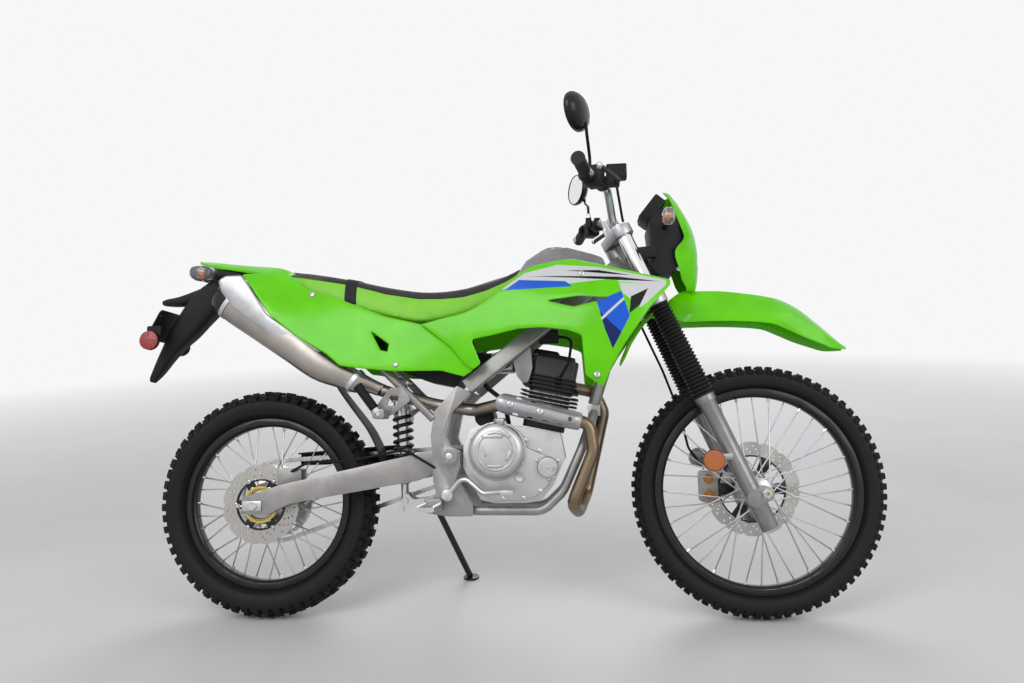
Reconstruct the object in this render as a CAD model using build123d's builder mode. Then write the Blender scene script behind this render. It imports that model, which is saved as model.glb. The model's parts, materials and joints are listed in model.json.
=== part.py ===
from build123d import *
import math
import os

# Dual sport motorcycle, drawn upright and leaned on its side stand at the end.
# Upright axes, in mm: X forward from the rear axle, Y to the rider's left, Z up from
# the road. A point is written (x, y, z). "Ahead" and "up the fork" are measured from
# the steering axis, square to it and along it.

# ---- wheels and tyres
WHEELBASE = 1380
REAR_TYRE_R = 322
REAR_TYRE_W = 104
REAR_CROWN_R = 56
REAR_TREAD = 9
REAR_RIM_R = 241
REAR_RIM_WELL_R = 217.5
REAR_RIM_W = 56
FRONT_TYRE_R = 343.5
FRONT_TYRE_W = 76
FRONT_CROWN_R = 44
FRONT_TREAD = 7.5
TREAD_PITCHES = 26
TREAD_FACET_ANGLE = 20
FRONT_RIM_R = 279
FRONT_RIM_WELL_R = 255.2
FRONT_RIM_W = 44
FLANGE_T = 4
SPOKES = 36
SPOKE_R = 1.9
AXLE_R = 7.5
RUNNING_FIT = 0.05
SEAT_GAP = 0.3

# ---- brakes and final drive
FRONT_DISC_R = 132
FRONT_DISC_Y = 62
REAR_DISC_R = 110
REAR_DISC_Y = -68
DISC_T = 3.5
PAD_GAP = 5.2
CHAIN_PITCH = 15.875
CHAIN_Y = 66.5
CHAIN_W = 17
CHAIN_PLATE_H = 15
REAR_TEETH = 46
FRONT_TEETH = 14
SPROCKET_T = 6
TOOTH_GAP = 5.3
DRIVE_X = 600
DRIVE_Z = 440

# ---- steering and fork
RAKE = 24
TRAIL = 95
CLAMP_OFFSET = 24
FORK_HALF_SPACING = 97.5
FORK_TUBE_R = 20.5
FORK_LEG_R = 24
FORK_LEG_FOOT = -87
FORK_LEG_TOP = 296
GAITER_TOP = 571
LOWER_CLAMP_T = 34
HEAD_TUBE_R = 30
HEAD_TUBE_FROM = 610
HEAD_TUBE_TO = 780
STEM_R = 15
UPPER_CLAMP_T = 28
FORK_TUBE_TOP = 818
STEERING_LOCK = 43
SWING_GAP = 5
BAR_R = 11.1
BAR_END_X = WHEELBASE - 479
BAR_END_Y = 400
BAR_END_Z = 1168
GRIP_R = 16.5
GRIP_LENGTH = 118

# ---- frame
SPAR_W = 26
SPAR_H = 44
SPAR_FOOT = (593, 105, 637)
SPAR_TOP = (WHEELBASE - 350, 34, 985)
CASTING_IN = 92
CASTING_T = 26
CRADLE_R = 12.7
CRADLE_Y = 92
DOWNTUBE_R = 17
RAIL_R = 11
RAIL_Y = 82
RAIL_END_Y = 54
PIVOT_X = 545
PIVOT_Z = 450
PIVOT_R = 10
SHOCK_TOP = (386, 664)
SHOCK_TUBE_R = 9

# ---- engine
CASE_RIGHT = -95
CASE_LEFT = 55
CYLINDER_TILT = 12
FINS = 8
FIN_PITCH = 11
FIN_T = 3.2
FIN_W = 164
FIN_D = 160
CLUTCH_COVER_R = 76
PIPE_R = 17

# ---- side stand and lean
STAND_PIVOT = (458, 136, 300)
STAND_FOOT_X = 545
STAND_FOOT_Y = 285.4
STAND_LEG_R = 9.5
LEAN = 11.74

# ---- bodywork
PANEL_T = 4
TANK_HALF_W = 112


def from_axle(rows):
    """Rows that start with an x from the front axle, as rows with the machine's own x."""
    return [(WHEELBASE + row[0], *row[1:]) for row in rows]


def side_plane(y=0):
    """Sketch plane seen from the right: local x is X, local y is Z, extruding to the right."""
    return Plane(origin=(0, y, 0), x_dir=(1, 0, 0), z_dir=(0, -1, 0))


def wheel_plane(x, z):
    """Section plane of a wheel: local x is Y, local y is the radius."""
    return Plane(origin=(x, 0, z), x_dir=(0, 1, 0), z_dir=(1, 0, 0))


def wheel_axis(x, z):
    return Axis((x, 0, z), (0, 1, 0))


UP_FORK = Vector(-math.sin(math.radians(RAKE)), 0, math.cos(math.radians(RAKE)))
AHEAD = Vector(math.cos(math.radians(RAKE)), 0, math.sin(math.radians(RAKE)))
AXLE_AHEAD = FRONT_TYRE_R * math.sin(math.radians(RAKE)) - TRAIL * math.cos(math.radians(RAKE))
STEER_BASE = Vector(WHEELBASE, 0, FRONT_TYRE_R) - AHEAD * AXLE_AHEAD


def steer_point(up, ahead=0, y=0):
    """A point given up the fork, ahead of the steering axis and to the left."""
    return STEER_BASE + UP_FORK * up + AHEAD * ahead + Vector(0, y, 0)


def steer_plane(up, ahead=0, y=0):
    """Plane square to the steering axis: local x is ahead, local y is Y."""
    return Plane(origin=steer_point(up, ahead, y), x_dir=AHEAD, z_dir=UP_FORK)


def rod(start, end, radius, bore=0):
    """A straight round bar or tube between two points."""
    along = Vector(*end) - Vector(*start)
    with BuildPart() as bar:
        with BuildSketch(Plane(origin=start, z_dir=along)):
            Circle(radius)
            if bore:
                Circle(bore, mode=Mode.SUBTRACT)
        extrude(amount=along.length)
    return bar.part


def bent_tube(points, bends, radius, bore=0):
    """A round tube along straight runs joined by tangent bends."""
    with BuildPart() as tube:
        with BuildLine() as route:
            FilletPolyline(*points, radius=bends)
        with BuildSketch(Plane(origin=route.line @ 0, z_dir=route.line % 0)):
            Circle(radius)
            if bore:
                Circle(bore, mode=Mode.SUBTRACT)
        sweep()
    return tube.part


def side_plate(outline, y_from, y_to, rounding=0):
    """A plate cut to an outline of (x, z) corners, between two Y values."""
    with BuildPart() as plate:
        with BuildSketch(side_plane(max(y_from, y_to))) as cut:
            with BuildLine():
                Polyline(*outline, close=True)
            make_face()
            if rounding:
                fillet(cut.vertices(), rounding)
        extrude(amount=abs(y_to - y_from))
    return plate.part


def lofted_panel(outline, stations, thickness):
    """A thin right-hand panel: a skin through stations of x and (y, z) points, cut to an outline."""
    with BuildPart() as panel:
        sections = []
        for x, points in stations:
            inner = [(y + thickness, z) for y, z in reversed(points)]
            with BuildSketch(Plane(origin=(x, 0, 0), x_dir=(0, 1, 0), z_dir=(1, 0, 0)), mode=Mode.PRIVATE) as rib:
                with BuildLine():
                    Polyline(*points, *inner, close=True)
                make_face()
            sections.append(rib.sketch)
        loft(sections=sections, ruled=True)
        with BuildSketch(side_plane()):
            with BuildLine():
                Polyline(*outline, close=True)
            make_face()
        extrude(amount=400, mode=Mode.INTERSECT)
    return panel.part


def ring_solid(x, z, section):
    """A wheel-shaped solid turned from a section of (y, radius) corners."""
    with BuildPart() as ring:
        with BuildSketch(wheel_plane(x, z)):
            with BuildLine():
                Polyline(*section, close=True)
            make_face()
        revolve(axis=wheel_axis(x, z))
    return ring.part


def both_sides(right):
    """The right-hand piece with its mirror image on the left, as one node."""
    return right + mirror(right, about=Plane.XZ)


pieces = []


def keep(part, name):
    """Label a finished piece and set it aside for export."""
    part.label = name
    pieces.append(part)
    return part


# ---- tyres: a many-sided carcass with one flat for each pitch of tread, and rows of lugs on
# its flats. A row is (crown angle at its middle, half width, length, start) as shares: widths
# of the crown radius, lengths and starts of the pitch.
LUG_ROWS = [(0, 0.21, 0.46, 0.04), (-2 * TREAD_FACET_ANGLE, 0.2, 0.4, 0.54), (2 * TREAD_FACET_ANGLE, 0.2, 0.4, 0.54)]


def tyre(x, z, radius, width, rim_radius, rim_width, crown_radius, tread):
    half = width / 2
    bead = rim_width / 2 - FLANGE_T
    crown_centre = radius - crown_radius
    groove = crown_radius - tread
    corner = groove / math.cos(math.radians(TREAD_FACET_ANGLE))
    flank = rim_radius + 0.48 * (crown_centre - rim_radius + groove)
    first_lug_middle = LUG_ROWS[0][3] + LUG_ROWS[0][2] / 2
    turn = -90 - 360 / TREAD_PITCHES * first_lug_middle
    flats = math.cos(math.pi / TREAD_PITCHES)
    # half of the drum, as (distance from the middle plane, radius)
    drum = [(half, flank)]
    for angle in (3 * TREAD_FACET_ANGLE, TREAD_FACET_ANGLE):
        a = math.radians(angle)
        drum.append((corner * math.sin(a), crown_centre + corner * math.cos(a)))
    stations = [(-y, r) for y, r in drum] + [(y, r) for y, r in reversed(drum)]

    def slices(rows):
        faces = []
        for y, r in rows:
            with BuildSketch(Plane(origin=(x, y, z), x_dir=(1, 0, 0), z_dir=(0, -1, 0)), mode=Mode.PRIVATE) as face:
                RegularPolygon(r / flats, TREAD_PITCHES, rotation=turn)
            faces.append(face.sketch)
        return faces

    with BuildPart() as lug_rows:
        for angle, half_width, long, start in LUG_ROWS:
            a = math.radians(angle)
            top = crown_radius * math.sqrt(1 - half_width ** 2)
            out = Vector(math.cos(a), 0, math.sin(a))
            pitch = 2 * math.pi / TREAD_PITCHES
            foot = Vector(crown_centre, 0, 0) + out * (groove - 2)
            with BuildPart(mode=Mode.PRIVATE) as lug:
                with BuildSketch(Plane(origin=foot, x_dir=(0, 1, 0), z_dir=out)):
                    Rectangle(long * pitch * crown_centre, 2 * half_width * crown_radius)
                extrude(amount=top - groove + 2)
            first = turn + math.degrees(pitch) * (start + long / 2)
            with Locations(Plane(origin=(x, 0, z), x_dir=(1, 0, 0), z_dir=(0, -1, 0))):
                with PolarLocations(0, TREAD_PITCHES, start_angle=first):
                    add(lug.part)
    with BuildPart() as ring:
        loft(sections=slices(stations), ruled=True)
        for side in (-1, 1):
            dish = [(side * bead, rim_radius + 3), (side * (half + 1), flank - 2)]
            loft(sections=slices(dish), ruled=True, mode=Mode.SUBTRACT)
        loft(sections=slices([(-half - 1, rim_radius - 12), (half + 1, rim_radius - 12)]), ruled=True, mode=Mode.SUBTRACT)
        add(lug_rows.part)
    return ring.part


# ---- rims: a well between two flanges
def rim(x, z, radius, well_radius, width):
    half = width / 2
    bead = half - FLANGE_T
    seat = radius - 12.2
    well = half * 0.45
    section = [
        (-half, radius), (-bead, radius), (-bead, seat), (-well, seat), (-well + 3, well_radius + 4),
        (well - 3, well_radius + 4), (well, seat), (bead, seat), (bead, radius), (half, radius),
        (half, seat - 4), (well + 4, seat - 5), (well, well_radius), (-well, well_radius),
        (-well - 4, seat - 5), (-half, seat - 4),
    ]
    return ring_solid(x, z, section)


keep(tyre(0, REAR_TYRE_R, REAR_TYRE_R, REAR_TYRE_W, REAR_RIM_R, REAR_RIM_W, REAR_CROWN_R, REAR_TREAD), "rear_tyre")
keep(rim(0, REAR_TYRE_R, REAR_RIM_R, REAR_RIM_WELL_R, REAR_RIM_W), "rear_rim")
keep(tyre(WHEELBASE, FRONT_TYRE_R, FRONT_TYRE_R, FRONT_TYRE_W, FRONT_RIM_R, FRONT_RIM_W, FRONT_CROWN_R, FRONT_TREAD), "front_tyre")
keep(rim(WHEELBASE, FRONT_TYRE_R, FRONT_RIM_R, FRONT_RIM_WELL_R, FRONT_RIM_W), "front_rim")


# ---- hubs with their laced spokes; each spoke leaves its flange on a tangent
def hub_with_spokes(x, z, section, flange_y, flange_r, rim_r, lean_angle):
    with BuildPart() as hub:
        with BuildSketch(wheel_plane(x, z)):
            with BuildLine():
                Polyline(*section, close=True)
            make_face()
        revolve(axis=wheel_axis(x, z))
        for n in range(SPOKES):
            side = 1 if n % 2 else -1
            way = 1 if (n // 2) % 2 else -1
            rim_angle = math.radians(n * 360 / SPOKES)
            hub_angle = rim_angle + way * math.radians(lean_angle)
            start = (
                x + (flange_r - 3) * math.cos(hub_angle),
                side * flange_y,
                z + (flange_r - 3) * math.sin(hub_angle),
            )
            end = (x + rim_r * math.cos(rim_angle), side * 4, z + rim_r * math.sin(rim_angle))
            along = Vector(*end) - Vector(*start)
            with BuildSketch(Plane(origin=start, z_dir=along)):
                Circle(SPOKE_R)
            extrude(amount=along.length)
    return hub.part


HUB_BORE_R = AXLE_R + RUNNING_FIT
SWINGARM_IN = 90
REAR_HUB_END = SWINGARM_IN - SEAT_GAP
REAR_FLANGE_R = 58
REAR_FLANGE_Y = 30
DISC_SEAT_R = 50
SPROCKET_Y = CHAIN_Y - SPROCKET_T / 2
rear_hub_section = [
    (-REAR_HUB_END, HUB_BORE_R), (-REAR_HUB_END, 15), (REAR_DISC_Y - DISC_T / 2, 15),
    (REAR_DISC_Y - DISC_T / 2, 38), (REAR_DISC_Y + DISC_T / 2, 38), (REAR_DISC_Y + DISC_T / 2, DISC_SEAT_R),
    (REAR_DISC_Y + 8, DISC_SEAT_R), (-REAR_FLANGE_Y - 6, 34), (-REAR_FLANGE_Y - 3, REAR_FLANGE_R),
    (-REAR_FLANGE_Y + 3, REAR_FLANGE_R), (-REAR_FLANGE_Y + 8, 30), (REAR_FLANGE_Y - 8, 30),
    (REAR_FLANGE_Y - 3, REAR_FLANGE_R), (REAR_FLANGE_Y + 3, REAR_FLANGE_R), (REAR_FLANGE_Y + 6, 46),
    (SPROCKET_Y, 62), (SPROCKET_Y, 40), (REAR_HUB_END - 12, 40), (REAR_HUB_END - 12, 15),
    (REAR_HUB_END, 15), (REAR_HUB_END, HUB_BORE_R),
]
keep(
    hub_with_spokes(0, REAR_TYRE_R, rear_hub_section, REAR_FLANGE_Y, REAR_FLANGE_R, REAR_RIM_WELL_R - 0.8, 38),
    "rear_hub_and_spokes",
)
LEG_IN = FORK_HALF_SPACING - FORK_LEG_R
FRONT_HUB_END = LEG_IN - SEAT_GAP
FRONT_FLANGE_R = 36
FRONT_FLANGE_Y = 32
front_hub_section = [
    (-FRONT_HUB_END, HUB_BORE_R), (-FRONT_HUB_END, 14), (-FRONT_FLANGE_Y - 10, 14), (-FRONT_FLANGE_Y - 8, 24),
    (-FRONT_FLANGE_Y - 3, FRONT_FLANGE_R), (-FRONT_FLANGE_Y + 3, FRONT_FLANGE_R), (-FRONT_FLANGE_Y + 8, 22),
    (FRONT_FLANGE_Y - 8, 22), (FRONT_FLANGE_Y - 3, FRONT_FLANGE_R), (FRONT_FLANGE_Y + 3, FRONT_FLANGE_R),
    (FRONT_FLANGE_Y + 8, 28), (FRONT_DISC_Y - DISC_T / 2 - 5, DISC_SEAT_R), (FRONT_DISC_Y - DISC_T / 2, DISC_SEAT_R),
    (FRONT_DISC_Y - DISC_T / 2, 36), (FRONT_DISC_Y + DISC_T / 2, 36), (FRONT_DISC_Y + DISC_T / 2, 14),
    (FRONT_HUB_END, 14), (FRONT_HUB_END, HUB_BORE_R),
]
keep(
    hub_with_spokes(
        WHEELBASE, FRONT_TYRE_R, front_hub_section, FRONT_FLANGE_Y, FRONT_FLANGE_R, FRONT_RIM_WELL_R - 0.8, 52
    ),
    "front_hub_and_spokes",
)


# ---- brake discs: wavy edge, three rings of drilled holes
def brake_disc(x, z, y, radius, inner, waves, holes):
    with BuildPart() as disc:
        with BuildSketch(Plane(origin=(x, y + DISC_T / 2, z), x_dir=(1, 0, 0), z_dir=(0, -1, 0))):
            Circle(radius)
            Circle(inner, mode=Mode.SUBTRACT)
            with PolarLocations(radius + 5, waves):
                Circle(9, mode=Mode.SUBTRACT)
            for ring in range(3):
                with PolarLocations(radius - 12 - 10 * ring, holes, start_angle=ring * 120 / holes):
                    Circle(3.2, mode=Mode.SUBTRACT)
            with PolarLocations((radius - 40 + inner) / 2 + 2, 6):
                Circle((radius - 40 - inner) / 2 - 5, mode=Mode.SUBTRACT)
        extrude(amount=DISC_T)
    return disc.part


keep(brake_disc(0, REAR_TYRE_R, REAR_DISC_Y, REAR_DISC_R, 38, 10, 18), "rear_brake_disc")
keep(brake_disc(WHEELBASE, FRONT_TYRE_R, FRONT_DISC_Y, FRONT_DISC_R, 36, 12, 20), "front_brake_disc")

# ---- final drive: rear sprocket on the hub, chain as one closed loop
REAR_PITCH_R = CHAIN_PITCH / 2 / math.sin(math.pi / REAR_TEETH)
FRONT_PITCH_R = CHAIN_PITCH / 2 / math.sin(math.pi / FRONT_TEETH)
SPROCKET_TIP_R = REAR_PITCH_R - CHAIN_PLATE_H / 2 - TOOTH_GAP
with BuildPart() as rear_sprocket:
    with BuildSketch(Plane(origin=(0, CHAIN_Y + SPROCKET_T / 2, REAR_TYRE_R), x_dir=(1, 0, 0), z_dir=(0, -1, 0))):
        Circle(SPROCKET_TIP_R)
        Circle(40.2, mode=Mode.SUBTRACT)
        with PolarLocations(SPROCKET_TIP_R + 1, REAR_TEETH):
            Circle(3, mode=Mode.SUBTRACT)
        with PolarLocations(80, 6):
            Circle(13, mode=Mode.SUBTRACT)
    extrude(amount=SPROCKET_T)
keep(rear_sprocket.part, "rear_sprocket")

# ---- a thin band on the pitch line, with every second link's plates standing out of it
BAND_W = 10
BAND_H = 8
rear_centre = Vector(0, 0, REAR_TYRE_R)
drive_centre = Vector(DRIVE_X, 0, DRIVE_Z)
run = drive_centre - rear_centre
run_angle = math.atan2(run.Z, run.X)
wrap = math.acos((REAR_PITCH_R - FRONT_PITCH_R) / run.length)
straight = run.length * math.sin(wrap)
# the loop's four parts: centre, radius, angle it starts at, its length
loop_parts = [
    (rear_centre, REAR_PITCH_R, run_angle + wrap, REAR_PITCH_R * (2 * math.pi - 2 * wrap)),
    (rear_centre, REAR_PITCH_R, run_angle - wrap, straight),
    (drive_centre, FRONT_PITCH_R, run_angle - wrap, FRONT_PITCH_R * 2 * wrap),
    (drive_centre, FRONT_PITCH_R, run_angle + wrap, straight),
]
loop_length = sum(part[3] for part in loop_parts)
link_pairs = round(loop_length / CHAIN_PITCH / 2)


def chain_spot(distance):
    """The pitch line's point and heading at a distance along the loop."""
    for number, (centre, radius, start, length) in enumerate(loop_parts):
        if distance <= length:
            break
        distance -= length
    swept = distance / radius if number % 2 == 0 else 0
    angle = start + swept
    heading = Vector(-math.sin(angle), 0, math.cos(angle))
    spot = centre + Vector(math.cos(angle), 0, math.sin(angle)) * radius
    return spot + heading * (distance if number % 2 else 0), heading


band_spots = [chain_spot(loop_length * n / link_pairs / 2) for n in range(2 * link_pairs)]
with BuildPart() as chain:
    for offset, mode in ((BAND_H / 2, Mode.ADD), (-BAND_H / 2, Mode.SUBTRACT)):
        outline = [(spot.X + heading.Z * offset, spot.Z - heading.X * offset) for spot, heading in band_spots]
        with BuildSketch(side_plane(CHAIN_Y + BAND_W / 2)):
            with BuildLine():
                Polyline(*outline, close=True)
            make_face()
        extrude(amount=BAND_W, mode=mode)
    with BuildSketch(side_plane(CHAIN_Y + SPROCKET_T / 2)):
        with Locations((DRIVE_X, DRIVE_Z)):
            RegularPolygon(FRONT_PITCH_R - BAND_H / 2 + 1, FRONT_TEETH)
    extrude(amount=SPROCKET_T)
    with BuildSketch(side_plane(CHAIN_Y)):
        with Locations((DRIVE_X, DRIVE_Z)):
            RegularPolygon(17, 6)
    extrude(amount=CHAIN_Y - CASE_LEFT)
with BuildPart() as link_plates:
    for (start, _), (end, _) in zip(band_spots[::2], band_spots[1::2]):
        middle = (start + end) / 2 + Vector(0, CHAIN_Y, 0)
        with Locations(Plane(origin=middle, x_dir=end - start, z_dir=(0, 1, 0))):
            Box(CHAIN_PITCH + 6, CHAIN_PLATE_H - 3, CHAIN_W)
chain.part += link_plates.part
keep(chain.part, "drive_chain")

# ---- rear axle through the swingarm, front axle through the fork feet
SWINGARM_OUT = 121
LEG_OUT = FORK_HALF_SPACING + FORK_LEG_R
keep(
    rod((WHEELBASE, -LEG_OUT - 4, FRONT_TYRE_R), (WHEELBASE, LEG_OUT + 4, FRONT_TYRE_R), AXLE_R),
    "front_axle",
)


# ---- fork: lower legs with the axle lug ahead, inner tubes, ribbed gaiters
def fork_leg(side):
    with BuildPart() as leg:
        with BuildSketch(steer_plane(FORK_LEG_FOOT, CLAMP_OFFSET, side * FORK_HALF_SPACING)):
            Circle(FORK_LEG_R)
        extrude(amount=FORK_LEG_TOP - FORK_LEG_FOOT)
        with BuildSketch(steer_plane(FORK_LEG_TOP - 18, CLAMP_OFFSET, side * FORK_HALF_SPACING)):
            Circle(FORK_LEG_R + 4)
        extrude(amount=18)
        leg_at_axle = steer_point(0, CLAMP_OFFSET)
        with BuildSketch(side_plane(side * FORK_HALF_SPACING + FORK_LEG_R)):
            with Locations((WHEELBASE, FRONT_TYRE_R)):
                Circle(19)
            with Locations((leg_at_axle.X, leg_at_axle.Z)):
                Circle(FORK_LEG_R)
            make_hull()
        extrude(amount=2 * FORK_LEG_R)
        with BuildSketch(side_plane(side * FORK_HALF_SPACING + FORK_LEG_R + 1)):
            with Locations((WHEELBASE, FRONT_TYRE_R)):
                Circle(AXLE_R + RUNNING_FIT)
        extrude(amount=2 * FORK_LEG_R + 2, mode=Mode.SUBTRACT)
        with BuildSketch(steer_plane(FORK_LEG_TOP, CLAMP_OFFSET, side * FORK_HALF_SPACING)):
            Circle(FORK_TUBE_R + RUNNING_FIT)
        extrude(amount=-110, mode=Mode.SUBTRACT)
    return leg.part



with BuildPart() as fork_tubes:
    for side in (-1, 1):
        with BuildSketch(steer_plane(FORK_LEG_TOP - 109, CLAMP_OFFSET, side * FORK_HALF_SPACING)):
            Circle(FORK_TUBE_R)
        extrude(amount=FORK_TUBE_TOP - FORK_LEG_TOP + 109)
keep(fork_tubes.part, "fork_tubes")

GAITER_RIBS = 17
GAITER_FROM = FORK_LEG_TOP + SEAT_GAP
GAITER_PITCH = (GAITER_TOP - GAITER_FROM) / GAITER_RIBS
with BuildPart() as fork_gaiters:
    for side in (-1, 1):
        centre = steer_point(0, CLAMP_OFFSET, side * FORK_HALF_SPACING)
        section = [(FORK_TUBE_R + 0.4, GAITER_FROM)]
        for rib in range(GAITER_RIBS):
            base = GAITER_FROM + rib * GAITER_PITCH
            crest = 31 - 4 * rib / GAITER_RIBS
            section.append((crest - 5, base))
            section.append((crest, base + GAITER_PITCH / 2))
        section.append((crest - 5, GAITER_TOP))
        section.append((FORK_TUBE_R + 0.4, GAITER_TOP))
        with BuildSketch(Plane(origin=centre, x_dir=(0, 1, 0), z_dir=AHEAD)):
            with BuildLine():
                Polyline(*section, close=True)
            make_face()
        revolve(axis=Axis(centre, UP_FORK))
keep(fork_gaiters.part, "fork_gaiters")


# ---- triple clamps: plates round the stem and both tubes
def clamp_plate(up, thickness, stem_boss, tube_boss):
    with BuildPart() as clamp:
        with BuildSketch(steer_plane(up)):
            with Locations((-4, 0)):
                Circle(stem_boss)
            with Locations((CLAMP_OFFSET, -FORK_HALF_SPACING), (CLAMP_OFFSET, FORK_HALF_SPACING)):
                Circle(tube_boss)
            make_hull()
            with Locations((CLAMP_OFFSET, -FORK_HALF_SPACING), (CLAMP_OFFSET, FORK_HALF_SPACING)):
                Circle(FORK_TUBE_R + RUNNING_FIT, mode=Mode.SUBTRACT)
        extrude(amount=thickness)
    return clamp.part


UPPER_CLAMP_AT = HEAD_TUBE_TO + 4
with BuildPart() as lower_clamp:
    add(clamp_plate(GAITER_TOP + SEAT_GAP, LOWER_CLAMP_T, 27, 30))
    with BuildSketch(steer_plane(GAITER_TOP + LOWER_CLAMP_T)):
        Circle(STEM_R)
    extrude(amount=UPPER_CLAMP_AT - GAITER_TOP - LOWER_CLAMP_T)
keep(lower_clamp.part, "lower_clamp_and_stem")

BAR_UP = UPPER_CLAMP_AT + UPPER_CLAMP_T + 26
BAR_AHEAD = 16
bar_centre = steer_point(BAR_UP, BAR_AHEAD)
bar_route = [
    (BAR_END_X, -BAR_END_Y, BAR_END_Z),
    (bar_centre.X - 16, -165, BAR_END_Z - 4),
    (bar_centre.X, -85, bar_centre.Z),
    (bar_centre.X, 85, bar_centre.Z),
    (bar_centre.X - 16, 165, BAR_END_Z - 4),
    (BAR_END_X, BAR_END_Y, BAR_END_Z),
]
keep(bent_tube(bar_route, [60, 45, 45, 60], BAR_R), "handlebar")

with BuildPart() as upper_clamp:
    add(clamp_plate(UPPER_CLAMP_AT, UPPER_CLAMP_T, 27, 29))
    for y in (-50, 50):
        with BuildSketch(steer_plane(UPPER_CLAMP_AT + UPPER_CLAMP_T, BAR_AHEAD, y)):
            Rectangle(34, 24)
        extrude(amount=26 + BAR_R + 8)
    with BuildSketch(Plane(origin=(bar_centre.X, 80, bar_centre.Z), x_dir=(1, 0, 0), z_dir=(0, -1, 0))):
        Circle(BAR_R + RUNNING_FIT)
    extrude(amount=160, mode=Mode.SUBTRACT)
keep(upper_clamp.part, "upper_clamp")


# ---- controls: grips, housings, levers
def on_bar(y):
    """A point on the outer run of the bar at a given side distance."""
    inner = Vector(*bar_route[1])
    outer = Vector(*bar_route[0])
    share = (abs(y) - abs(inner.Y)) / (abs(outer.Y) - abs(inner.Y))
    spot = inner + (outer - inner) * share
    return Vector(spot.X, -abs(y), spot.Z)


bar_way = (on_bar(BAR_END_Y) - on_bar(200)).normalized()


def sleeve(y_from, y_to, radius):
    """A round sleeve on the right-hand run of the bar."""
    return rod(on_bar(y_from), on_bar(y_to), radius, BAR_R + RUNNING_FIT)


GRIP_FROM = BAR_END_Y - GRIP_LENGTH + 4
grip_right = sleeve(GRIP_FROM, BAR_END_Y + 4, GRIP_R)
with BuildPart() as grips:
    add(grip_right)
    add(mirror(grip_right, about=Plane.XZ, mode=Mode.PRIVATE))
keep(grips.part, "grips")


def control_block(tall, deep):
    """Switch or throttle housing round the bar, inboard of the grip."""
    with BuildPart() as block:
        with BuildSketch(Plane(origin=on_bar(GRIP_FROM - 42), x_dir=(0, 0, 1), z_dir=bar_way)):
            RectangleRounded(tall, deep, 9)
        extrude(amount=41)
        with BuildSketch(Plane(origin=on_bar(GRIP_FROM - 50), x_dir=(0, 0, 1), z_dir=bar_way)):
            Circle(BAR_R + RUNNING_FIT)
        extrude(amount=60, mode=Mode.SUBTRACT)
    return block.part



PERCH_Y = 215
MIRROR_Y = 325
MIRROR_X = BAR_END_X + 13
MIRROR_Z = 1320
MIRROR_W = 126
MIRROR_H = 104
MIRROR_BOSS_H = 24


def lever_set(reservoir):
    """Lever perch on the right-hand bar run with its blade ahead of the grip."""
    perch = on_bar(PERCH_Y)
    pivot = perch + Vector(38, -18, -2)
    tip = Vector(BAR_END_X + 62, -BAR_END_Y + 16, BAR_END_Z - 14)
    elbow = Vector(pivot.X + 8, -255, pivot.Z - 4)
    with BuildPart() as lever:
        with BuildSketch(Plane(origin=on_bar(PERCH_Y - 15), x_dir=(0, 0, 1), z_dir=bar_way)):
            Circle(BAR_R + 8)
        extrude(amount=30)
        with BuildSketch(Plane(origin=(perch.X, perch.Y, perch.Z - 12))):
            with Locations((24, -6)):
                Rectangle(50, 28)
        extrude(amount=24)
        with BuildSketch(Plane(origin=perch)):
            Circle(10)
        extrude(amount=MIRROR_BOSS_H)
        for start, end in ((pivot, elbow), (elbow, tip)):
            with BuildSketch(Plane(origin=start, x_dir=(0, 0, 1), z_dir=end - start)):
                RectangleRounded(13, 8, 3)
            extrude(amount=(end - start).length + 2)
        if reservoir:
            with BuildSketch(Plane(origin=(perch.X + 42, perch.Y + 4, perch.Z + 11))):
                RectangleRounded(54, 44, 8)
            extrude(amount=34)
        with BuildSketch(Plane(origin=on_bar(PERCH_Y - 20), x_dir=(0, 0, 1), z_dir=bar_way)):
            Circle(BAR_R + RUNNING_FIT)
        extrude(amount=50, mode=Mode.SUBTRACT)
    return lever.part


with BuildPart() as bar_controls:
    add(control_block(52, 44))
    add(mirror(control_block(50, 40), about=Plane.XZ, mode=Mode.PRIVATE))
    add(lever_set(True))
    add(mirror(lever_set(False), about=Plane.XZ, mode=Mode.PRIVATE))
keep(bar_controls.part, "bar_controls")


def rear_mirror():
    """Oval mirror on a thin stem that screws into the lever perch."""
    foot = on_bar(PERCH_Y) + Vector(0, 0, MIRROR_BOSS_H + SEAT_GAP)
    neck = Vector(MIRROR_X + 8, -MIRROR_Y + 20, MIRROR_Z - 34)
    # shell sections of (behind the glass plane, share of full size)
    shell = [(-14, 0.94), (-8, 1.0), (10, 0.86), (28, 0.42)]
    with BuildPart() as head:
        with BuildSketch(Plane(origin=foot)):
            Circle(8)
        extrude(amount=14)
        with BuildLine() as stem:
            FilletPolyline(foot + Vector(0, 0, 6), foot + Vector(-4, -14, 56), neck, radius=60)
        with BuildSketch(Plane(origin=stem.line @ 0, z_dir=stem.line % 0)):
            Circle(4.5)
        sweep()
        sections = []
        for ahead, share in shell:
            face = Plane(origin=(MIRROR_X + ahead, -MIRROR_Y, MIRROR_Z), x_dir=(0, 1, 0), z_dir=(1, 0, 0))
            with BuildSketch(face, mode=Mode.PRIVATE) as oval:
                Ellipse(MIRROR_W / 2 * share, MIRROR_H / 2 * share)
            sections.append(oval.sketch)
        loft(sections=sections, ruled=True)
    return head.part


keep(both_sides(rear_mirror()), "mirrors")

# ---- meter, headlamp housing, number-board mask, lens
meter_outline = [(-248, 1181), (-220, 1156), (-272, 1099), (-297, 1120)]
housing_outline = [
    (-274, 1093), (-254, 1122), (-228, 1132), (-212, 1128), (-188, 1085), (-176, 1032), (-188, 985),
    (-214, 945), (-252, 942), (-272, 968), (-268, 1030),
]
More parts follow.
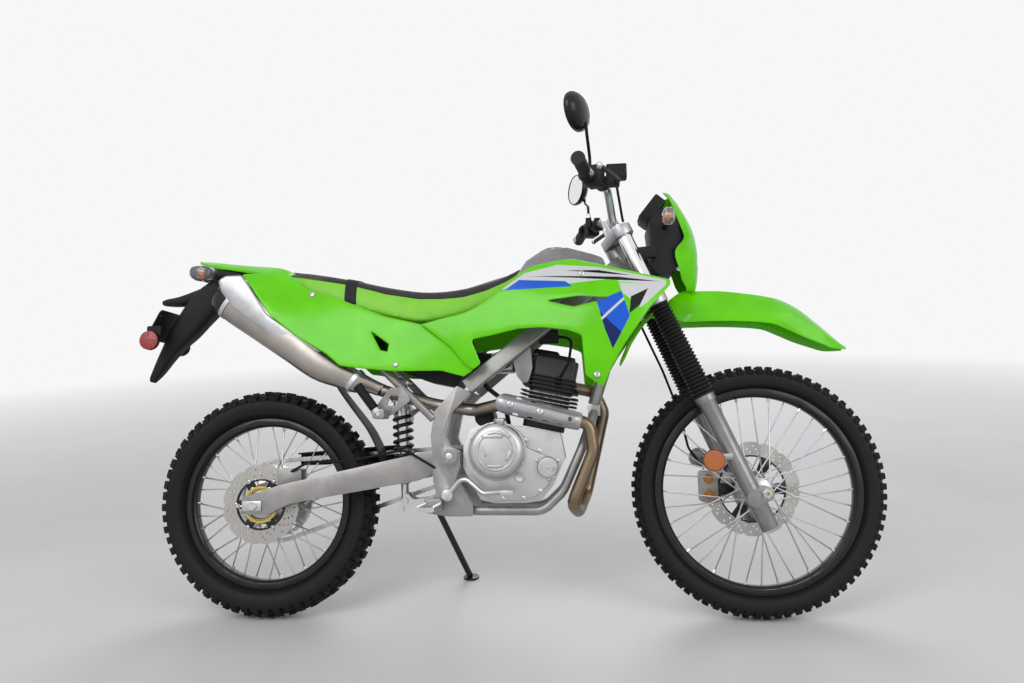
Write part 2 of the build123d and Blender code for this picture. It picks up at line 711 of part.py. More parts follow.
# mask: side outline bent back at the edges by its plan line of (x, y)
mask_outline = [
    (-240, 1130), (-222, 1186), (-206, 1186), (-169, 1121), (-146, 1066), (-135, 1005), (-140, 960),
    (-170, 905), (-196, 905), (-190, 960), (-180, 1030), (-196, 1090),
]
mask_back = [
    (-290, 1200), (-235, 1200), (-217, 1170), (-180, 1104), (-160, 1050), (-154, 1003), (-162, 962),
    (-184, 915), (-196, 895), (-290, 895),
]
with BuildPart() as mask:
    with BuildSketch(side_plane(92)) as cut:
        with BuildLine():
            Polyline(*from_axle(mask_outline), close=True)
        make_face()
    extrude(amount=184)
    with BuildSketch(Plane(origin=(WHEELBASE - 270, 0, 0), x_dir=(0, 1, 0), z_dir=(1, 0, 0))) as front:
        with BuildLine():
            Polyline(
                (-52, 1190), (52, 1190), (66, 1130), (90, 1060), (86, 990), (56, 900),
                (-56, 900), (-86, 990), (-90, 1060), (-66, 1130), close=True,
            )
        make_face()
    extrude(amount=200, mode=Mode.INTERSECT)
    with BuildSketch(Plane(origin=(WHEELBASE - 190, 0, 0), x_dir=(0, 1, 0), z_dir=(1, 0, 0))):
        with Locations((0, 1003)):
            RectangleRounded(118, 108, 24)
    extrude(amount=100, mode=Mode.SUBTRACT)
    with BuildSketch(side_plane(93)):
        with BuildLine():
            Polyline(*from_axle(mask_back), close=True)
        make_face()
    extrude(amount=186, mode=Mode.SUBTRACT)
keep(mask.part, "headlamp_mask")

# housing with the meter on top, straps back to the fork tubes and posts to the mask
strap_outline = [(-340, 984), (-340, 1012), (-258, 1020), (-258, 988)]
with BuildPart() as housing:
    add(side_plate(from_axle(housing_outline), -74, 74, 7))
    add(side_plate(from_axle(meter_outline), -52, 52, 6))
    for side in (-1, 1):
        add(side_plate(from_axle(strap_outline), side * 70, side * FORK_HALF_SPACING))
        add(rod((WHEELBASE - 220, side * 50, 1075), (WHEELBASE - 158, side * 50, 1075), 6))
    add(mask.part, mode=Mode.SUBTRACT)
    add(fork_tubes.part, mode=Mode.SUBTRACT)
keep(housing.part, "headlamp_housing_and_meter")

lens_outline = [(-176, 1050), (-164, 1050), (-156, 1003), (-164, 962), (-176, 956), (-180, 985), (-176, 1030)]
keep(side_plate(from_axle(lens_outline), -56, 56), "headlamp_lens")

# ---- front fender: centre line of (x, z, half width, side drop)
fender_stations = [
    (-184, 896, 62, 78),
    (-70, 904, 66, 80),
    (60, 884, 66, 66),
    (160, 824, 58, 46),
    (258, 734, 34, 10),
]
FENDER_T = 4
FENDER_LOBE_W = 96
rear_lobe_outline = [
    (-367, 701), (-349, 759), (-325, 791), (-292, 828), (-281, 843), (-270, 838), (-286, 821), (-318, 785),
    (-341, 756), (-358, 700),
]
with BuildPart() as front_fender:
    fender_rows = from_axle(fender_stations)
    for (x0, z0, w0, d0), (x1, z1, w1, d1) in zip(fender_rows, fender_rows[1:]):
        sections = []
        for x, z, w, d in ((x0, z0, w0, d0), (x1, z1, w1, d1)):
            with BuildSketch(Plane(origin=(x, 0, z), x_dir=(0, 1, 0), z_dir=(1, 0, 0)), mode=Mode.PRIVATE) as rib:
                with BuildLine():
                    Polyline(
                        (-w, -d), (-w + 4, -d * 0.35), (-w * 0.62, 0), (w * 0.62, 0), (w - 4, -d * 0.35), (w, -d),
                        (w - FENDER_T, -d), (w - 4 - FENDER_T, -d * 0.35 - 2), (w * 0.62 - 2, -FENDER_T),
                        (-w * 0.62 + 2, -FENDER_T), (-w + 4 + FENDER_T, -d * 0.35 - 2), (-w + FENDER_T, -d), close=True,
                    )
                make_face()
            sections.append(rib.sketch)
        loft(sections=sections, ruled=True)
    with BuildSketch(steer_plane(GAITER_TOP)):
        with Locations((60, 0)):
            Rectangle(124, 84)
    extrude(amount=-6)
    add(side_plate(from_axle(rear_lobe_outline), -FENDER_LOBE_W / 2, FENDER_LOBE_W / 2))
keep(front_fender.part, "front_fender")

# ---- front caliper on the left leg, with a slot round the disc
CALIPER_X = WHEELBASE - 122
CALIPER_Z = 352


def caliper(x, z, disc_y, leg_y, long, tall, tilt):
    """A block round the disc edge, reaching sideways to what carries it."""
    with BuildPart() as block:
        with BuildSketch(Plane(origin=(x, max(disc_y + 19, leg_y), z), x_dir=(1, 0, 0), z_dir=(0, -1, 0)).rotated((0, 0, tilt))):
            RectangleRounded(long, tall, 10)
        extrude(amount=max(disc_y + 19, leg_y) - min(disc_y - 22, leg_y))
    return block.part


with BuildPart() as front_caliper:
    add(caliper(CALIPER_X, CALIPER_Z, FRONT_DISC_Y, FRONT_DISC_Y, 50, 88, 0))
    with BuildSketch(Plane(origin=(WHEELBASE, FRONT_DISC_Y + DISC_T / 2 + PAD_GAP, FRONT_TYRE_R), x_dir=(1, 0, 0), z_dir=(0, -1, 0))):
        Circle(FRONT_DISC_R + PAD_GAP)
    extrude(amount=DISC_T + 2 * PAD_GAP, mode=Mode.SUBTRACT)
    with BuildSketch(side_plane(98)):
        with BuildLine():
            Polyline(*from_axle([(-118, 385), (-80, 402), (-50, 360), (-64, 318), (-118, 318)]), close=True)
        make_face()
    extrude(amount=98 - FRONT_DISC_Y - DISC_T / 2 - PAD_GAP)
    add(fork_leg(1), mode=Mode.SUBTRACT)
keep(front_caliper.part, "front_caliper")

# ---- front turn signals on short stalks from the housing sides
with BuildPart() as front_signals:
    for side in (-1, 1):
        with BuildSketch(Plane(origin=(WHEELBASE - 230, side * 74, 1075), x_dir=(1, 0, 0), z_dir=(0, side, 0))):
            Circle(8)
        extrude(amount=62)
        with BuildSketch(Plane(origin=(WHEELBASE - 230, side * 134, 1080), x_dir=(1, 0, 0), z_dir=(0, side, 0))):
            RectangleRounded(34, 48, 10)
        extrude(amount=62, taper=6)
keep(front_signals.part, "front_turn_signals")

# ---- fork legs with an amber side reflector bracketed to each
with BuildPart() as fork_legs:
    for side in (-1, 1):
        with BuildSketch(Plane(origin=(WHEELBASE - 134, side * 128, 431), x_dir=(1, 0, 0), z_dir=(0, side, 0))):
            Circle(28)
        extrude(amount=9)
        with BuildSketch(Plane(origin=(WHEELBASE - 118, side * 116, 440), x_dir=(1, 0, 0), z_dir=(0, side, 0))):
            Rectangle(70, 16)
        extrude(amount=13)
    add(both_sides(fork_leg(-1)))
keep(fork_legs.part, "fork_legs")

# ---- frame: head tube with downtube, two spars, two pivot castings, cradle
with BuildPart() as steering_head:
    with BuildSketch(steer_plane(HEAD_TUBE_FROM)):
        Circle(HEAD_TUBE_R)
    extrude(amount=HEAD_TUBE_TO - HEAD_TUBE_FROM)
    head_low = steer_point(HEAD_TUBE_FROM + 48, -12)
    down_foot = Vector(940, 0, 586)
    with BuildSketch(Plane(origin=head_low, z_dir=down_foot - head_low)):
        Circle(DOWNTUBE_R)
    extrude(amount=(down_foot - head_low).length)
    with BuildSketch(steer_plane(HEAD_TUBE_FROM - 1)):
        Circle(STEM_R + RUNNING_FIT)
    extrude(amount=HEAD_TUBE_TO - HEAD_TUBE_FROM + 2, mode=Mode.SUBTRACT)

spar_foot = Vector(SPAR_FOOT[0], -SPAR_FOOT[1], SPAR_FOOT[2])
spar_top = Vector(SPAR_TOP[0], -SPAR_TOP[1], SPAR_TOP[2])
with BuildPart() as spar_right:
    with BuildSketch(Plane(origin=spar_foot, x_dir=(0.16, 1, 0), z_dir=spar_top - spar_foot)):
        RectangleRounded(SPAR_W, SPAR_H, 5)
    extrude(amount=(spar_top - spar_foot).length)
    with BuildSketch(steer_plane(HEAD_TUBE_FROM - 60)):
        Circle(HEAD_TUBE_R)
    extrude(amount=300, mode=Mode.SUBTRACT)
spars = both_sides(spar_right.part)

casting_outline = [
    (566, 641), (607, 622), (548, 566), (535, 502), (545, 477), (572, 462), (574, 424), (562, 392), (608, 322),
    (608, 290), (540, 290), (478, 300), (474, 338), (508, 352), (500, 384), (498, 450), (493, 505), (504, 573),
]
with BuildPart() as casting_right:
    with BuildSketch(side_plane(-CASTING_IN)) as cut:
        with BuildLine():
            Polyline(*casting_outline, close=True)
        make_face()
        fillet(cut.vertices(), 6)
    extrude(amount=CASTING_T)
    with BuildSketch(side_plane(-CASTING_IN - CASTING_T)):
        with Locations((PIVOT_X, PIVOT_Z)):
            Circle(24)
        with Locations((541, 347)):
            Circle(17)
    extrude(amount=6)
    with BuildSketch(side_plane(-CASTING_IN + 1)):
        with Locations((PIVOT_X, PIVOT_Z)):
            Circle(PIVOT_R + RUNNING_FIT)
    extrude(amount=CASTING_T + 10, mode=Mode.SUBTRACT)
    add(spar_right.part, mode=Mode.SUBTRACT)
castings = both_sides(casting_right.part)

cradle_route = [
    (608, -CRADLE_Y, 303), (796, -CRADLE_Y, 301), (850, -CRADLE_Y, 352), (903, -CRADLE_Y + 4, 466), (940, -26, 566),
]
with BuildPart() as cradle:
    with BuildLine() as route:
        FilletPolyline(*cradle_route, radius=[60, 90, 60])
    with BuildSketch(Plane(origin=route.line @ 0, z_dir=route.line % 0)):
        Circle(CRADLE_R)
    sweep()
    mirror(about=Plane.XZ)
    with BuildSketch(Plane(origin=(0, -34, 0), x_dir=(1, 0, 0), z_dir=(0, 1, 0))):
        with Locations((940, -570)):
            Rectangle(34, 30)
    extrude(amount=68)
    add(steering_head.part, mode=Mode.SUBTRACT)
keep(cradle.part, "engine_cradle")

# ---- subframe: seat rails, struts and cross tubes in one weldment
rail_route = [(612, -RAIL_Y, 730), (300, -RAIL_Y, 822), (-80, -RAIL_END_Y, 915)]
strut_route = [(500, -112, 552), (364, -112, 686), (240, -RAIL_Y, 834)]
with BuildPart() as subframe:
    for route_points, bend in ((rail_route, 120), (strut_route, 60)):
        with BuildLine() as route:
            FilletPolyline(*route_points, radius=bend)
        with BuildSketch(Plane(origin=route.line @ 0, z_dir=route.line % 0)):
            Circle(RAIL_R)
        sweep()
    mirror(about=Plane.XZ)
    for x, z in ((250, 832), (0, 894)):
        with BuildSketch(side_plane(RAIL_Y if x else RAIL_END_Y + 6)):
            with Locations((x, z)):
                Circle(8)
        extrude(amount=2 * RAIL_Y if x else 2 * RAIL_END_Y + 12)
    with BuildSketch(side_plane(112)):
        with Locations(SHOCK_TOP):
            Circle(SHOCK_TUBE_R)
    extrude(amount=224)
    add(castings, mode=Mode.SUBTRACT)
    add(spars, mode=Mode.SUBTRACT)
keep(subframe.part, "subframe")

# ---- swingarm: side outline cut to a plan that narrows towards the pivot
arm_outline = [
    (-34, 300), (-34, 346), (80, 380), (440, 455), (530, 476), (572, 462), (572, 436), (540, 424), (455, 385),
    (98, 327), (40, 298),
]
arm_plan = [(590, -76.5), (380, -76.5), (60, -SWINGARM_IN), (-50, -SWINGARM_IN), (-50, -SWINGARM_OUT),
            (60, -SWINGARM_OUT), (400, -108), (480, -91), (590, -91)]
with BuildPart() as swingarm:
    with BuildSketch(side_plane()) as cut:
        with BuildLine():
            Polyline(*arm_outline, close=True)
        make_face()
    extrude(amount=200)
    with BuildSketch(Plane.XY):
        with BuildLine():
            Polyline(*arm_plan, close=True)
        make_face()
    extrude(amount=1000, mode=Mode.INTERSECT)
    mirror(about=Plane.XZ)
    with BuildSketch(side_plane(82)):
        with Locations((348, 405)):
            RectangleRounded(28, 58, 8)
    extrude(amount=164)
    with BuildSketch(side_plane(SWINGARM_OUT + 1)):
        with Locations((0, REAR_TYRE_R)):
            Circle(AXLE_R + RUNNING_FIT)
        with Locations((PIVOT_X, PIVOT_Z)):
            Circle(PIVOT_R + RUNNING_FIT)
    extrude(amount=2 * SWINGARM_OUT + 2, mode=Mode.SUBTRACT)
keep(swingarm.part, "swingarm")
PIVOT_END = CASTING_IN + CASTING_T + 10
with BuildPart() as swingarm_axles:
    add(rod((0, -SWINGARM_OUT - 7, REAR_TYRE_R), (0, SWINGARM_OUT + 7, REAR_TYRE_R), AXLE_R))
    add(rod((PIVOT_X, -PIVOT_END, PIVOT_Z), (PIVOT_X, PIVOT_END, PIVOT_Z), PIVOT_R))
keep(swingarm_axles.part, "rear_axle_and_pivot")

# ---- rear suspension: damper with spring, rocker and tie rods
shock_foot = Vector(397, 0, 330)
shock_top = Vector(SHOCK_TOP[0], 0, SHOCK_TOP[1])
with BuildPart() as shock:
    along = shock_top - shock_foot
    for start, length, radius in ((0, along.length, 11), (62, 190, 31), (232, 60, 27)):
        with BuildSketch(Plane(origin=shock_foot + along.normalized() * start, z_dir=along)):
            Circle(radius)
        extrude(amount=length)
    with BuildSketch(side_plane(15)):
        with Locations(SHOCK_TOP):
            Circle(17)
    extrude(amount=30)
    with BuildSketch(side_plane(16)):
        with Locations(SHOCK_TOP):
            Circle(SHOCK_TUBE_R + RUNNING_FIT)
    extrude(amount=32, mode=Mode.SUBTRACT)
with BuildPart() as linkage:
    for y in (-26, 26):
        with BuildSketch(side_plane(y + 4)):
            with BuildLine():
                Polyline((404, 350), (386, 302), (410, 296), (520, 318), (536, 334), (520, 340), (424, 326), close=True)
            make_face()
        extrude(amount=8)
    with BuildSketch(side_plane(30)):
        with Locations((404, 326)):
            Circle(8)
    extrude(amount=60)
    with BuildSketch(side_plane(CASTING_IN)):
        with Locations((524, 330)):
            Circle(8)
    extrude(amount=2 * CASTING_IN)
    add(shock.part)
keep(linkage.part, "rear_shock_and_linkage")

# ---- engine: crankcase block with its covers
case_outline = [
    (580, 480), (600, 524), (667, 542), (846, 508), (858, 440), (842, 410), (822, 366), (790, 328), (750, 322),
    (664, 322), (626, 332), (578, 420),
]
with BuildPart() as crankcase:
    with BuildSketch(side_plane(CASE_LEFT)) as cut:
        with BuildLine():
            Polyline(*case_outline, close=True)
        make_face()
        fillet(cut.vertices(), 8)
    extrude(amount=CASE_LEFT - CASE_RIGHT)
    with BuildSketch(side_plane(CASE_RIGHT)):
        with BuildLine():
            Polyline(
                (600, 486), (640, 528), (700, 516), (760, 470), (812, 446), (834, 414), (812, 370), (776, 340),
                (746, 332), (668, 332), (634, 342), (604, 420), close=True,
            )
        make_face()
    extrude(amount=24, taper=4)
    add(castings, mode=Mode.SUBTRACT)
keep(crankcase.part, "crankcase")

COVER_BACK = CASE_RIGHT - 24
COVER_FACE = COVER_BACK - 40
clutch_section = [
    (COVER_BACK, 0), (COVER_BACK, CLUTCH_COVER_R), (COVER_FACE + 9, CLUTCH_COVER_R - 4),
    (COVER_FACE + 2, CLUTCH_COVER_R - 12), (COVER_FACE, CLUTCH_COVER_R - 20), (COVER_FACE, 0),
]
filter_section = [
    (COVER_BACK, 0), (COVER_BACK, 29), (COVER_FACE + 17, 28), (COVER_FACE + 14, 25), (COVER_FACE + 14, 0),
]
with BuildPart() as clutch_cover:
    add(ring_solid(675, 463, clutch_section))
    add(ring_solid(811, 419, filter_section))

generator_section = [
    (CASE_LEFT, 0), (CASE_LEFT, 78), (CASE_LEFT + 32, 76), (CASE_LEFT + 44, 64), (CASE_LEFT + 46, 52),
    (CASE_LEFT + 46, 0),
]
with BuildPart() as generator_cover:
    add(ring_solid(752, 430, generator_section))
    with BuildSketch(side_plane(CASE_LEFT + 38)):
        with Locations((DRIVE_X + 26, DRIVE_Z)):
            Circle(42)
        with Locations((680, 440)):
            Circle(44)
        make_hull()
    extrude(amount=14)
    with BuildSketch(side_plane(CASE_LEFT + 38)):
        with BuildLine():
            Polyline((652, 486), (690, 480), (690, 392), (652, 392), close=True)
        make_face()
    extrude(amount=38)
    add(castings, mode=Mode.SUBTRACT)
    add(clutch_cover.part)
keep(generator_cover.part, "engine_covers")

# cylinder and head lean forward about the crankshaft
deck = Vector(790, 0, 490)
tilt = math.radians(CYLINDER_TILT)
cylinder_up = Vector(math.sin(tilt), 0, math.cos(tilt))
cylinder_ahead = Vector(math.cos(tilt), 0, -math.sin(tilt))


def cylinder_plane(up):
    """Plane square to the bore: local x is ahead, local y is Y."""
    return Plane(origin=deck + cylinder_up * up, x_dir=cylinder_ahead, z_dir=cylinder_up)


with BuildPart() as cylinder:
    with BuildSketch(cylinder_plane(30)):
        RectangleRounded(116, 124, 20)
    extrude(amount=108)
    for n in range(FINS):
        with BuildSketch(cylinder_plane(50 + n * FIN_PITCH)):
            RectangleRounded(FIN_W, FIN_D, 26)
        extrude(amount=FIN_T)
    add(crankcase.part, mode=Mode.SUBTRACT)
keep(cylinder.part, "cylinder")

with BuildPart() as cylinder_head:
    with BuildSketch(cylinder_plane(138)):
        RectangleRounded(128, 120, 18)
    extrude(amount=92)
    for n in range(4):
        with BuildSketch(cylinder_plane(142 + n * FIN_PITCH)):
            RectangleRounded(FIN_W - 6 - 8 * n, FIN_D - 6, 22)
        extrude(amount=FIN_T)
    with BuildSketch(cylinder_plane(230)):
        RectangleRounded(112, 104, 14)
    extrude(amount=12, taper=20)
    add(cylinder.part, mode=Mode.SUBTRACT)
keep(cylinder_head.part, "cylinder_head")

with BuildPart() as main_frame:
    add(steering_head.part)
    add(spars)
    for y in (-58, 74):
        with BuildSketch(side_plane(y)):
            with BuildLine():
                Polyline((716, 716), (766, 760), (772, 690), (760, 652), (744, 648), (728, 668), close=True)
            make_face()
        extrude(amount=16)
    add(cylinder_head.part, mode=Mode.SUBTRACT)
    add(cylinder.part, mode=Mode.SUBTRACT)
keep(main_frame.part, "main_frame")

# ---- intake: airbox behind, throttle body between it and the head
airbox_outline = [(470, 660), (560, 640), (590, 700), (590, 812), (500, 808), (300, 788), (330, 720)]
with BuildPart() as intake:
    add(side_plate(airbox_outline, RAIL_R - RAIL_Y + SEAT_GAP, RAIL_Y - RAIL_R - SEAT_GAP, 12))
    add(rod((588, 0, 712), (741, 0, 712), 27))
    add(cylinder_head.part, mode=Mode.SUBTRACT)
keep(intake.part, "airbox_and_throttle_body")

# ---- exhaust: header down the front, round and back along the right side
header_route = [
    (870, 32, 642), (966, 40, 616), (984, 44, 556), (926, 40, 340), (890, -32, 292), (874, -114, 320),
    (934, -116, 460), (925, -118, 532), (700, -126, 590), (610, -73, 574), (500, -71, 592), (420, -82, 614),
    (352, -112, 634),
]
header_bends = [26, 40, 40, 36, 40, 60, 34, 70, 60, 100, 60]
exhaust_header = bent_tube(header_route, header_bends, PIPE_R)

shield_from = Vector(690, -126, 592)
shield_to = Vector(896, -119, 539)
with BuildPart() as heat_shield:
    along = shield_to - shield_from
    with BuildSketch(Plane(origin=shield_from, x_dir=(0, -1, 0), z_dir=along)):
        Circle(PIPE_R + 8)
        Circle(PIPE_R + 4, mode=Mode.SUBTRACT)
        with Locations((-PIPE_R - 10, 0)):
            Rectangle(2 * PIPE_R + 20, 90, mode=Mode.SUBTRACT)
    extrude(amount=along.length)
    with BuildSketch(Plane(origin=shield_from + along * 0.2, z_dir=along)):
        Circle(PIPE_R + 5)
    extrude(amount=14)
    with BuildSketch(Plane(origin=shield_from + along * 0.75, z_dir=along)):
        Circle(PIPE_R + 5)
    extrude(amount=14)
    add(exhaust_header)
    add(cylinder_head.part, mode=Mode.SUBTRACT)
keep(heat_shield.part, "exhaust_header")

# muffler sections of (x, y, z, tall, wide), each square to the muffler's line
muffler_stations = [
    (352, -112, 634, 40, 40),
    (300, -116, 650, 56, 54),
    (190, -120, 704, 78, 76),
    (-45, -118, 886, 124, 84),
    (-84, -118, 914, 92, 64),
]
muffler_way = Vector(-0.78, -0.02, 0.62).normalized()
with BuildPart() as muffler:
    sections = []
    for x, y, z, tall, wide in muffler_stations:
        with BuildSketch(Plane(origin=(x, y, z), x_dir=(0, 1, 0), z_dir=muffler_way), mode=Mode.PRIVATE) as rib:
            RectangleRounded(wide, tall, min(wide, tall) / 2 - 1)
        sections.append(rib.sketch)
    loft(sections=sections, ruled=True)
    with BuildSketch(side_plane(-66)):
        with Locations((0, 895)):
            Rectangle(26, 18)
    extrude(amount=30)
    add(subframe.part, mode=Mode.SUBTRACT)
    add(exhaust_header, mode=Mode.SUBTRACT)
keep(muffler.part, "muffler")

# ---- fuel tank, cap, seat
tank_outline = [(700, 812), (706, 905), (762, 984), (808, 1014), (876, 1019), (946, 998), (990, 980), (930, 930)]
with BuildPart() as fuel_tank:
    with BuildSketch(side_plane(TANK_HALF_W)) as cut:
        with BuildLine():
            Polyline(*tank_outline, close=True)
        make_face()
        fillet(cut.vertices(), 8)
    extrude(amount=2 * TANK_HALF_W)
    fillet(fuel_tank.faces().sort_by(Axis.Z)[-1].edges().filter_by(Axis.X, reverse=True), 3)
    add(spars, mode=Mode.SUBTRACT)
    for side in (-1, 1):
        beside = math.degrees(math.atan2(side * FORK_HALF_SPACING, CLAMP_OFFSET))
        swing = CenterArc((0, 0), math.hypot(CLAMP_OFFSET, FORK_HALF_SPACING), beside, side * STEERING_LOCK)
        with BuildSketch(steer_plane(GAITER_TOP)):
            SlotArc(swing, 2 * (FORK_TUBE_R + SWING_GAP))
        extrude(amount=FORK_TUBE_TOP - GAITER_TOP, mode=Mode.SUBTRACT)
    add(rod((841, 0, 1010), (841, 0, 1038), 36))
keep(fuel_tank.part, "fuel_tank")

seat_side = [
    (8, 1004), (120, 986), (220, 966), (350, 934), (473, 917), (580, 926), (678, 958), (748, 996), (752, 972),
    (700, 908), (640, 862), (600, 842), (459, 820), (298, 850), (125, 893), (14, 968),
]
seat_plan = [
    (0, -66), (120, -92), (300, -112), (460, -118), (600, -104), (760, -84), (760, 84), (600, 104), (460, 118),
    (300, 112), (120, 92), (0, 66),
]
with BuildPart() as seat:
    with BuildSketch(side_plane(150)):
        with BuildLine():
            Polyline(*seat_side, close=True)
        make_face()
    extrude(amount=300)
    with BuildSketch(Plane.XY):
        with BuildLine():
            Polyline(*seat_plan, close=True)
        make_face()
    extrude(amount=1500, mode=Mode.INTERSECT)
    add(fuel_tank.part, mode=Mode.SUBTRACT)
keep(seat.part, "seat")

# ---- side panels and shrouds: side outlines bent to plan lines
side_panel_outline = [
    (-44, 972), (-32, 940), (30, 857), (151, 772), (212, 727), (252, 697), (359, 687), (465, 682), (560, 668),
    (600, 690), (520, 756), (462, 812), (372, 829), (252, 864), (125, 893), (52, 978),
]
side_panel_stations = [
    (-62, [(-92, 1020), (-162, 950), (-178, 860)]),
    (60, [(-98, 1000), (-154, 900), (-178, 820)]),
    (180, [(-108, 930), (-146, 840), (-174, 710)]),
    (300, [(-124, 890), (-148, 790), (-168, 660)]),
    (450, [(-134, 860), (-152, 760), (-160, 640)]),
    (660, [(-126, 850), (-142, 740), (-140, 620)]),
]
side_panel_right = lofted_panel(side_panel_outline, side_panel_stations, PANEL_T)
side_panel_right += rod((200, RAIL_R - RAIL_Y - 22, 846), (200, -144, 846), 8)
side_panel_right += rod((480, RAIL_R - RAIL_Y - 22, 769), (480, -149, 769), 8)
keep(both_sides(side_panel_right), "side_panels")

shroud_outline = [
    (705, 908), (762, 962), (836, 964), (937, 948), (1035, 934), (1146, 900), (1145, 890), (1090, 846), (1028, 797),
    (964, 627), (916, 668), (911, 758), (854, 777), (765, 795), (662, 778), (610, 765), (636, 702), (604, 690), (525, 760),
    (468, 814), (600, 838), (692, 896),
]
shroud_stations = [
    (450, [(-140, 960), (-157, 800), (-165, 640)]),
    (600, [(-124, 980), (-158, 820), (-150, 620)]),
    (700, [(-122, 1000), (-172, 860), (-152, 620)]),
    (820, [(-132, 1000), (-198, 850), (-170, 600)]),
    (940, [(-140, 990), (-214, 850), (-186, 600)]),
    (1050, [(-140, 980), (-214, 860), (-190, 700)]),
    (1160, [(-150, 960), (-190, 890), (-186, 780)]),
]
shroud_right = lofted_panel(shroud_outline, shroud_stations, PANEL_T)
shroud_right += rod((850, -TANK_HALF_W, 930), (850, -163.5, 930), 9)
shroud_right += rod((724, -TANK_HALF_W, 870), (724, -170, 870), 9)
keep(both_sides(shroud_right), "tank_shrouds")

# ---- tail: green fender over a black inner tray, lamp, signals
rear_fender_outline = [(96, 964), (40, 996), (-84, 1012), (-188, 1030), (-212, 1032), (-208, 1022), (-150, 1004), (-60, 984), (52, 962)]
with BuildPart() as rear_fender:
    with BuildSketch(side_plane(100)):
        with BuildLine():
            Polyline(*rear_fender_outline, close=True)
        make_face()
    extrude(amount=200)
    with BuildSketch(Plane.XY):
        with BuildLine():
            Polyline((120, -92), (-60, -80), (-216, -56), (-216, 56), (-60, 80), (120, 92), close=True)
        make_face()
    extrude(amount=1500, mode=Mode.INTERSECT)
    add(seat.part, mode=Mode.SUBTRACT)
keep(rear_fender.part, "rear_fender")

tray_outline = [(-198, 1014), (-150, 1003), (-60, 983), (14, 966), (100, 900), (290, 848), (290, 842), (90, 884), (-60, 940), (-150, 962), (-196, 990)]
with BuildPart() as tail_tray:
    add(side_plate(tray_outline, -62, 62))
    add(subframe.part, mode=Mode.SUBTRACT)
    add(seat.part, mode=Mode.SUBTRACT)
    add(rear_fender.part, mode=Mode.SUBTRACT)
keep(tail_tray.part, "tail_tray")
tail_lamp = keep(side_plate([(-222, 1002), (-198, 1014), (-196, 990), (-212, 974)], -46, 46), "tail_lamp")

holder_outline = [
    (-150, 968), (-196, 996), (-243, 952), (-310, 930), (-341, 929), (-347, 916), (-334, 900), (-318, 890),
    (-320, 869), (-304, 854), (-333, 819), (-326, 800), (-351, 757), (-380, 686), (-369, 669), (-350, 680),
    (-319, 732), (-281, 775), (-246, 800), (-211, 843), (-171, 880), (-120, 930), (-112, 948),
]
with BuildPart() as plate_holder:
    add(side_plate(holder_outline, -38, 38))
    with BuildSketch(Plane(origin=(-330, 0, 842), x_dir=(0, 1, 0), z_dir=(-0.88, 0, 0.47))):
        Rectangle(170, 96)
    extrude(amount=-4)
    with BuildSketch(Plane(origin=(-330, 0, 842), x_dir=(0, 1, 0), z_dir=(-0.88, 0, 0.47))):
        with Locations((-70, -30), (70, -30)):
            Circle(3.5)
    extrude(amount=-6, mode=Mode.SUBTRACT)
    add(tail_tray.part, mode=Mode.SUBTRACT)
    add(tail_lamp, mode=Mode.SUBTRACT)

with BuildPart() as rear_signals:
    for side in (-1, 1):
        with BuildSketch(Plane(origin=(-130, side * 62.3, 976), x_dir=(1, 0, 0), z_dir=(0, side, 0))):
            Circle(8)
        extrude(amount=60)
        with BuildSketch(Plane(origin=(-150, side * 120, 972), x_dir=(1, 0, 0), z_dir=(0, side, 0))):
            RectangleRounded(74, 42, 14)
        extrude(amount=56, taper=6)
keep(rear_signals.part, "rear_turn_signals")

with BuildPart() as reflector_arms:
    for side in (-1, 1):
        with BuildSketch(Plane(origin=(-335, side * 84, 793), x_dir=(1, 0, 0), z_dir=(0, side, 0))):
            Circle(28)
        extrude(amount=11)
        with BuildSketch(Plane(origin=(-326, side * 80, 822), x_dir=(1, 0, 0), z_dir=(0, side, 0))):
            Rectangle(44, 30)
        extrude(amount=6)
    add(plate_holder.part)
keep(reflector_arms.part, "plate_holder")


# ---- foot controls
def foot_peg(side):
    """Rider's folding peg in its fork-shaped bracket on the casting."""
    with BuildPart() as peg:
        with BuildSketch(Plane(origin=(506, side * (CASTING_IN + CASTING_T + SEAT_GAP), 322), x_dir=(1, 0, 0), z_dir=(0, side, 0))):
            RectangleRounded(44, 36, 8)
        extrude(amount=34)
        with BuildSketch(Plane(origin=(506, side * 152, 322), x_dir=(1, 0, 0), z_dir=(0, side, 0))):
            RectangleRounded(46, 18, 5)
        extrude(amount=112)
    return peg.part


pedal_route = [(541, -132, 347), (586, -140, 398), (640, -150, 352), (700, -168, 358)]
with BuildPart() as brake_pedal:
    with BuildLine() as route:
        FilletPolyline(*pedal_route, radius=[24, 24])
    with BuildSketch(Plane(origin=route.line @ 0, z_dir=route.line % 0)):
        Circle(7)
    sweep()
    with BuildSketch(Plane(origin=(706, -156, 356), x_dir=(1, 0, 0), z_dir=(0, -1, 0))):
        RectangleRounded(34, 12, 4)
    extrude(amount=34)
    with BuildSketch(side_plane(-124.2)):
        with Locations((541, 347)):
            Circle(15)
    extrude(amount=16)

with BuildPart() as shift_lever:
    with BuildSketch(side_plane(140)):
        with Locations((656, 360)):
            Circle(12)
    extrude(amount=84)
    with BuildLine() as route:
        FilletPolyline((656, 134, 360), (720, 138, 352), (776, 142, 378), radius=24)
    with BuildSketch(Plane(origin=route.line @ 0, z_dir=route.line % 0)):
        Circle(6)
    sweep()
    with BuildSketch(side_plane(184)):
        with Locations((780, 381)):
            Circle(10)
    extrude(amount=46)
    add(crankcase.part, mode=Mode.SUBTRACT)
    add(generator_cover.part, mode=Mode.SUBTRACT)
    add(cradle.part, mode=Mode.SUBTRACT)
    add(brake_pedal.part)
keep(shift_lever.part, "foot_levers")


